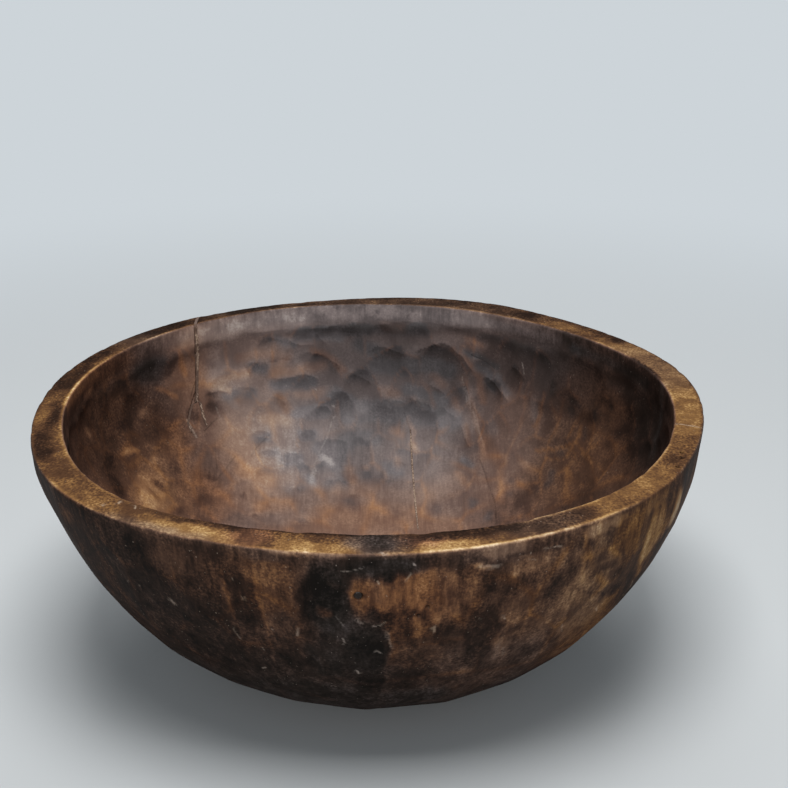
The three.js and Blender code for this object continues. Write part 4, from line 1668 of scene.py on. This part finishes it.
def make_check_filler(surface, finish):
    columns = 6
    levels = np.linspace(CHECK_RUN[0, 1] - 0.4, CHECK_RUN[-1, 1] + 0.4, 52)
    bm, edge, show, rows = fill_grid(len(levels), columns)
    for row, level in zip(rows, levels):
        across, width = at_level(CHECK_RUN, level)
        for column, vert in enumerate(row):
            share = column / (columns - 1) - 0.5
            x = float(across + crumbled(share, level) * width)
            vert.co = cast(surface, (x, 0, level), (0, 1, 0), FILL_PROUD)
            vert[edge] = edge_of(share)
            vert[show] = np.interp(CHECK_RUN[0, 1] - level, *CHECK_SHOW)
    thicken(bm, CHECK_FILL_THICKNESS)
    piece = mesh_object("check_fill", bm, finish, False)
    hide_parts("back_wall_check_filler")


def make_stopping(surface, finish):
    bm = bmesh.new()
    radius = PIT_BORE / 2 - FILL_CLEARANCE
    verts = [bm.verts.new((share * radius, 0, level)) for share, level in STOPPING_SECTION]
    spin_round(bm, verts, STOPPING_STEPS)
    bmesh.ops.recalc_face_normals(bm, faces=bm.faces[:])
    out = Vector((math.cos(math.radians(PIT_TURN)), math.sin(math.radians(PIT_TURN)), 0))
    level = BOWL_HEIGHT - PIT_BELOW
    point = Vector(cast(surface, out * WELL_OUTSIDE + Vector((0, 0, level)), -out))
    turned = out.to_track_quat("Z", "Y").to_matrix()
    bmesh.ops.rotate(bm, cent=(0, 0, 0), matrix=turned, verts=bm.verts[:])
    bmesh.ops.translate(bm, vec=point - out * STOPPING_SINK, verts=bm.verts[:])
    piece = mesh_object("pit_stopping", bm, finish)
    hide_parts("front_pit_stopping")


# Finishes

class Wire:
    """An output of a finish's node; sums on it add Math nodes."""

    def __init__(self, finish, socket):
        self.finish = finish
        self.socket = socket

    def sum(self, operation, first, second):
        return self.finish.add("Math", {"operation": operation}, {0: first, 1: second})

    def __add__(self, other):
        return self.sum("ADD", self, other)

    def __sub__(self, other):
        return self.sum("SUBTRACT", self, other)

    def __rsub__(self, other):
        return self.sum("SUBTRACT", other, self)

    def __mul__(self, other):
        return self.sum("MULTIPLY", self, other)

    __radd__ = __add__
    __rmul__ = __mul__


class Finish:
    """The nodes of a material or of the world, and the one way they are made."""

    def __init__(self, owner):
        owner.use_nodes = True
        self.owner = owner
        self.tree = owner.node_tree
        self.tree.nodes.clear()

    def add(self, kind, settings, sockets, output=0):
        """Makes a node of a kind, sets it, fills its sockets and gives back one of its outputs."""
        node = self.tree.nodes.new("ShaderNode" + kind)
        for key, value in settings.items():
            if key == "stops":
                self.set_stops(node.color_ramp.elements, value)
            else:
                setattr(node, key, value)
        for key, value in sockets.items():
            if isinstance(value, Wire):
                self.tree.links.new(value.socket, node.inputs[key])
            else:
                node.inputs[key].default_value = value
        return Wire(self, node.outputs[output]) if len(node.outputs) else node

    @staticmethod
    def set_stops(elements, stops):
        while len(elements) < len(stops):
            elements.new(1.0)
        for element, (at, colour) in zip(elements, stops):
            element.position = at
            element.color = colour

    def place(self, scale):
        """Object coordinates, scaled along each axis to give a pattern's features sizes in millimetres."""
        coordinates = self.add("TexCoord", {}, {}, 3)
        return self.add("Mapping", {}, {"Vector": coordinates, "Scale": [1 / (MM * size) for size in scale]})

    def noise(self, scale, detail=3.0, roughness=0.55):
        return self.add("TexNoise", {}, {"Vector": self.place(scale), "Scale": 1.0, "Detail": detail,
                                         "Roughness": roughness})

    def painted(self, name):
        return self.add("Attribute", {"attribute_name": name}, {}, 2)

    def ramp(self, value, stops):
        return self.add("ValToRGB", {"stops": stops}, {0: value})

    def mix(self, share, first, second):
        return self.add("Mix", {"data_type": "RGBA"}, {0: share, 6: first, 7: second}, 2)

    def between(self, value, low, high):
        """0 below low and 1 above high, with a soft step between."""
        return self.add("MapRange", {"interpolation_type": "SMOOTHSTEP"}, {0: value, 1: low, 2: high})

    def bump(self, height, distance):
        return self.add("Bump", {}, {"Strength": 1.0, "Distance": distance * MM, "Height": height})

    def close(self, sockets):
        """Ends a material in one surface and gives the material back."""
        shader = self.add("BsdfPrincipled", {}, sockets)
        self.add("OutputMaterial", {}, {"Surface": shader})
        return self.owner


def srgb(red, green, blue):
    """A linear colour from screen values of 0 to 255."""
    shares = [value / 255 for value in (red, green, blue)]
    linear = [share / 12.92 if share <= 0.04045 else ((share + 0.055) / 1.055) ** 2.4 for share in shares]
    return (*linear, 1.0)


GOLDEN_STOPS = (
    (0.0, srgb(24, 18, 15)),
    (0.2, srgb(50, 35, 27)),
    (0.4, srgb(87, 61, 42)),
    (0.6, srgb(132, 97, 58)),
    (0.8, srgb(178, 143, 92)),
    (1.0, srgb(222, 197, 154)),
)
RED_STOPS = (
    (0.0, srgb(24, 18, 16)),
    (0.2, srgb(52, 36, 31)),
    (0.4, srgb(92, 62, 49)),
    (0.6, srgb(139, 95, 72)),
    (0.8, srgb(183, 135, 103)),
    (1.0, srgb(220, 190, 160)),
)
GREY_STOPS = (
    (0.0, srgb(20, 18, 16)),
    (0.2, srgb(42, 38, 36)),
    (0.4, srgb(65, 62, 63)),
    (0.6, srgb(98, 94, 96)),
    (0.8, srgb(137, 130, 131)),
    (1.0, srgb(189, 182, 180)),
)
SCRATCH_GOLD = srgb(182, 162, 140)
SCRATCH_GREY = srgb(188, 180, 176)
GAP_BLACK = srgb(16, 12, 10)
FILLER_STOPS = (
    (0.3, srgb(128, 102, 82)),
    (0.5, srgb(156, 132, 113)),
    (0.7, srgb(184, 164, 146)),
)
FILLER_STAIN = srgb(94, 72, 60)
WAX_STOPS = (
    (0.3, srgb(22, 18, 16)),
    (0.7, srgb(44, 36, 31)),
)


def hewn_wood():
    """Stained and waxed wood, painted by the body's layers and broken up by patterns from broad to fine."""
    wood = Finish(bpy.data.materials.new("hewn_wood"))
    blotch = wood.noise((15, 15, 15), 7.0, 0.66)
    flow = wood.noise((8, 8, 44), 6.0, 0.62)
    streak = wood.noise((2.8, 2.8, 20), 5.0, 0.6)
    fine = wood.noise((1.5, 1.5, 1.5))
    fibre = wood.noise((0.6, 30, 14))
    grain = wood.noise((2.2, 16, 13), 5.0, 0.65)
    mottle = (blotch - 0.5) * 0.9 + (wood.between(blotch, 0.42, 0.58) - 0.5) * 0.16
    drift = (flow - 0.5) * 0.9 + (wood.between(flow, 0.44, 0.56) - 0.5) * 0.12
    rough = wood.between(blotch, 0.38, 0.62) * 1.1 + 0.45
    speck = (fine - 0.5) * 0.42 * rough
    tone = wood.painted("tone") + mottle * wood.painted("mottle") + drift * wood.painted("flow")
    tone = tone + (streak - 0.5) * 0.8 * wood.painted("streak") + speck * wood.painted("speckle")
    tone = tone + (grain - 0.5) * wood.painted("grain")
    warm = wood.mix(wood.painted("red"), wood.ramp(tone, GOLDEN_STOPS), wood.ramp(tone, RED_STOPS))
    colour = wood.mix(wood.painted("grey"), warm, wood.ramp(tone, GREY_STOPS))
    specks = wood.between(wood.noise((1.3, 1.3, 1.8), 1.0, 0.5), 0.74, 0.80)
    dust = specks * wood.painted("speckle") * 0.34
    pale = wood.painted("pale") * wood.between(fine * 0.6 + streak * 0.4, 0.36, 0.54) + dust
    scratch = wood.mix(wood.painted("grey"), SCRATCH_GOLD, SCRATCH_GREY)
    colour = wood.mix(pale, colour, scratch)
    colour = wood.mix(wood.painted("gap"), colour, GAP_BLACK)
    roughness = 0.5 + (fine - 0.5) * 0.25 + (blotch - 0.5) * 0.2
    return wood.close({
        "Base Color": colour,
        "Roughness": roughness,
        "Normal": wood.bump(blotch * 0.6 + fibre * 0.3 + fine * 0.5, 0.2),
        "Specular IOR Level": 0.0,
        "Coat Weight": wood.painted("sheen"),
        "Coat Roughness": 0.34,
        "Coat IOR": 1.4,
    })


def crack_filler():
    """Pale filler, stained where it has worn and towards its edges."""
    fill = Finish(bpy.data.materials.new("crack_filler"))
    run = fill.noise((2.5, 2.5, 12))
    fleck = fill.noise((1.0, 1.0, 2.4), 4.0, 0.6)
    bare = fill.painted("show") + (run - 0.5) * 0.8 + (fleck - 0.5) * 1.5 - fill.painted("edge") * 0.45
    pale = fill.ramp(fleck, FILLER_STOPS)
    colour = fill.mix(fill.between(bare, 0.3, 0.62), FILLER_STAIN, pale)
    return fill.close({"Base Color": colour, "Roughness": 0.75, "Normal": fill.bump(fleck, 0.2)})


def stopping_wax():
    """Dark, glossy hard wax."""
    wax = Finish(bpy.data.materials.new("pit_stopping"))
    fine = wax.noise((1.5, 1.5, 1.5))
    return wax.close({
        "Base Color": wax.ramp(fine, WAX_STOPS),
        "Roughness": 0.3,
        "Normal": wax.bump(fine, 0.12),
        "Specular IOR Level": 0.15,
    })


# Stage, light and camera, in metres

EYE = (-0.00166, -0.82992, 0.50991)
AIM = (0.01536, 0.0008, 0.1641)
ROLL = -0.25
LENS = 67.64
SENSOR_WIDTH = 36.0
BACKDROP = srgb(205, 212, 217)
FLOOR_PALE = srgb(205, 210, 213)
FLOOR_BOUNCE = srgb(96, 82, 70)
FLOOR_RADIUS = 9.0
FLOOR_NEAR = 0.35
FLOOR_FAR = 1.1
SKY_STRENGTH = 0.3

# Lamps: name, place, aim, size and power
LAMPS = (
    ("overhead", (0.0, -0.4, 1.5), (0, 0, 0.1), (0.7, 0.7), 17),
    ("front", (-0.15, -1.75, 0.28), (0, 0, 0.08), (1.6, 0.35), 16),
    ("back", (0.1, 1.0, 1.3), (0, 0, 0.1), (1.2, 0.6), 7),
)
LAMP_COLOUR = (1.0, 0.98, 0.96)


def make_floor():
    """A pale floor that keeps the bowl's shadow near it and passes into the plain backdrop further off."""
    bm = bmesh.new()
    bmesh.ops.create_circle(bm, cap_ends=True, segments=96, radius=FLOOR_RADIUS)
    mesh = bpy.data.meshes.new("floor")
    bm.to_mesh(mesh)
    bm.free()
    floor = bpy.data.objects.new("floor", mesh)
    bpy.context.scene.collection.objects.link(floor)
    ground = Finish(bpy.data.materials.new("pale_floor"))
    seen = seen_share(ground)
    colour = ground.mix(seen, FLOOR_BOUNCE, FLOOR_PALE)
    near = ground.add("BsdfDiffuse", {}, {"Color": colour})
    far = ground.add("Emission", {}, {"Color": BACKDROP, "Strength": 1.0})
    spot = ground.add("TexCoord", {}, {}, 3)
    away = ground.add("VectorMath", {"operation": "LENGTH"}, {0: spot}, 1)
    share = ground.between(away, FLOOR_NEAR, FLOOR_FAR) * seen
    shader = ground.add("MixShader", {}, {0: share, 1: near, 2: far})
    ground.add("OutputMaterial", {}, {"Surface": shader})
    mesh.materials.append(ground.owner)


def seen_share(finish):
    """1 where the camera, a reflection or a clear body looks, and 0 for the light that bounces."""
    looks = ("Is Camera Ray", "Is Glossy Ray", "Is Transmission Ray")
    camera, glossy, clear = (finish.add("LightPath", {}, {}, name) for name in looks)
    return finish.add("Clamp", {}, {0: camera + glossy + clear})


def make_world():
    """A plain backdrop to the eye, and a dimmer sky to light by."""
    world = bpy.data.worlds.new("studio")
    bpy.context.scene.world = world
    studio = Finish(world)
    seen = seen_share(studio)
    strength = seen * (1 - SKY_STRENGTH) + SKY_STRENGTH
    sky = studio.add("Background", {}, {"Color": BACKDROP, "Strength": strength})
    studio.add("OutputWorld", {}, {"Surface": sky})


def make_lamp(name, at, towards, size, power):
    lamp = bpy.data.lights.new(name, "AREA")
    lamp.shape = "RECTANGLE"
    lamp.size, lamp.size_y = size
    lamp.energy = power
    lamp.color = LAMP_COLOUR
    holder = bpy.data.objects.new(name, lamp)
    holder.location = at
    holder.rotation_mode = "QUATERNION"
    holder.rotation_quaternion = (Vector(towards) - Vector(at)).to_track_quat("-Z", "Y")
    bpy.context.scene.collection.objects.link(holder)


def make_camera():
    data = bpy.data.cameras.new("camera")
    data.lens = LENS
    data.sensor_width = SENSOR_WIDTH
    camera = bpy.data.objects.new("camera", data)
    camera.location = EYE
    camera.rotation_mode = "QUATERNION"
    look = (Vector(AIM) - Vector(EYE)).to_track_quat("-Z", "Y")
    camera.rotation_quaternion = look @ Quaternion((0, 0, 1), math.radians(ROLL))
    bpy.context.scene.collection.objects.link(camera)
    bpy.context.scene.camera = camera


bpy.context.scene.view_settings.view_transform = "Standard"
make_camera()
make_floor()
make_world()
for lamp_row in LAMPS:
    make_lamp(*lamp_row)

wood_finish = hewn_wood()
filler_finish = crack_filler()
wood_surface = make_body(wood_finish)
make_crack_filler(wood_surface, filler_finish)
make_check_filler(wood_surface, filler_finish)
make_stopping(wood_surface, stopping_wax())
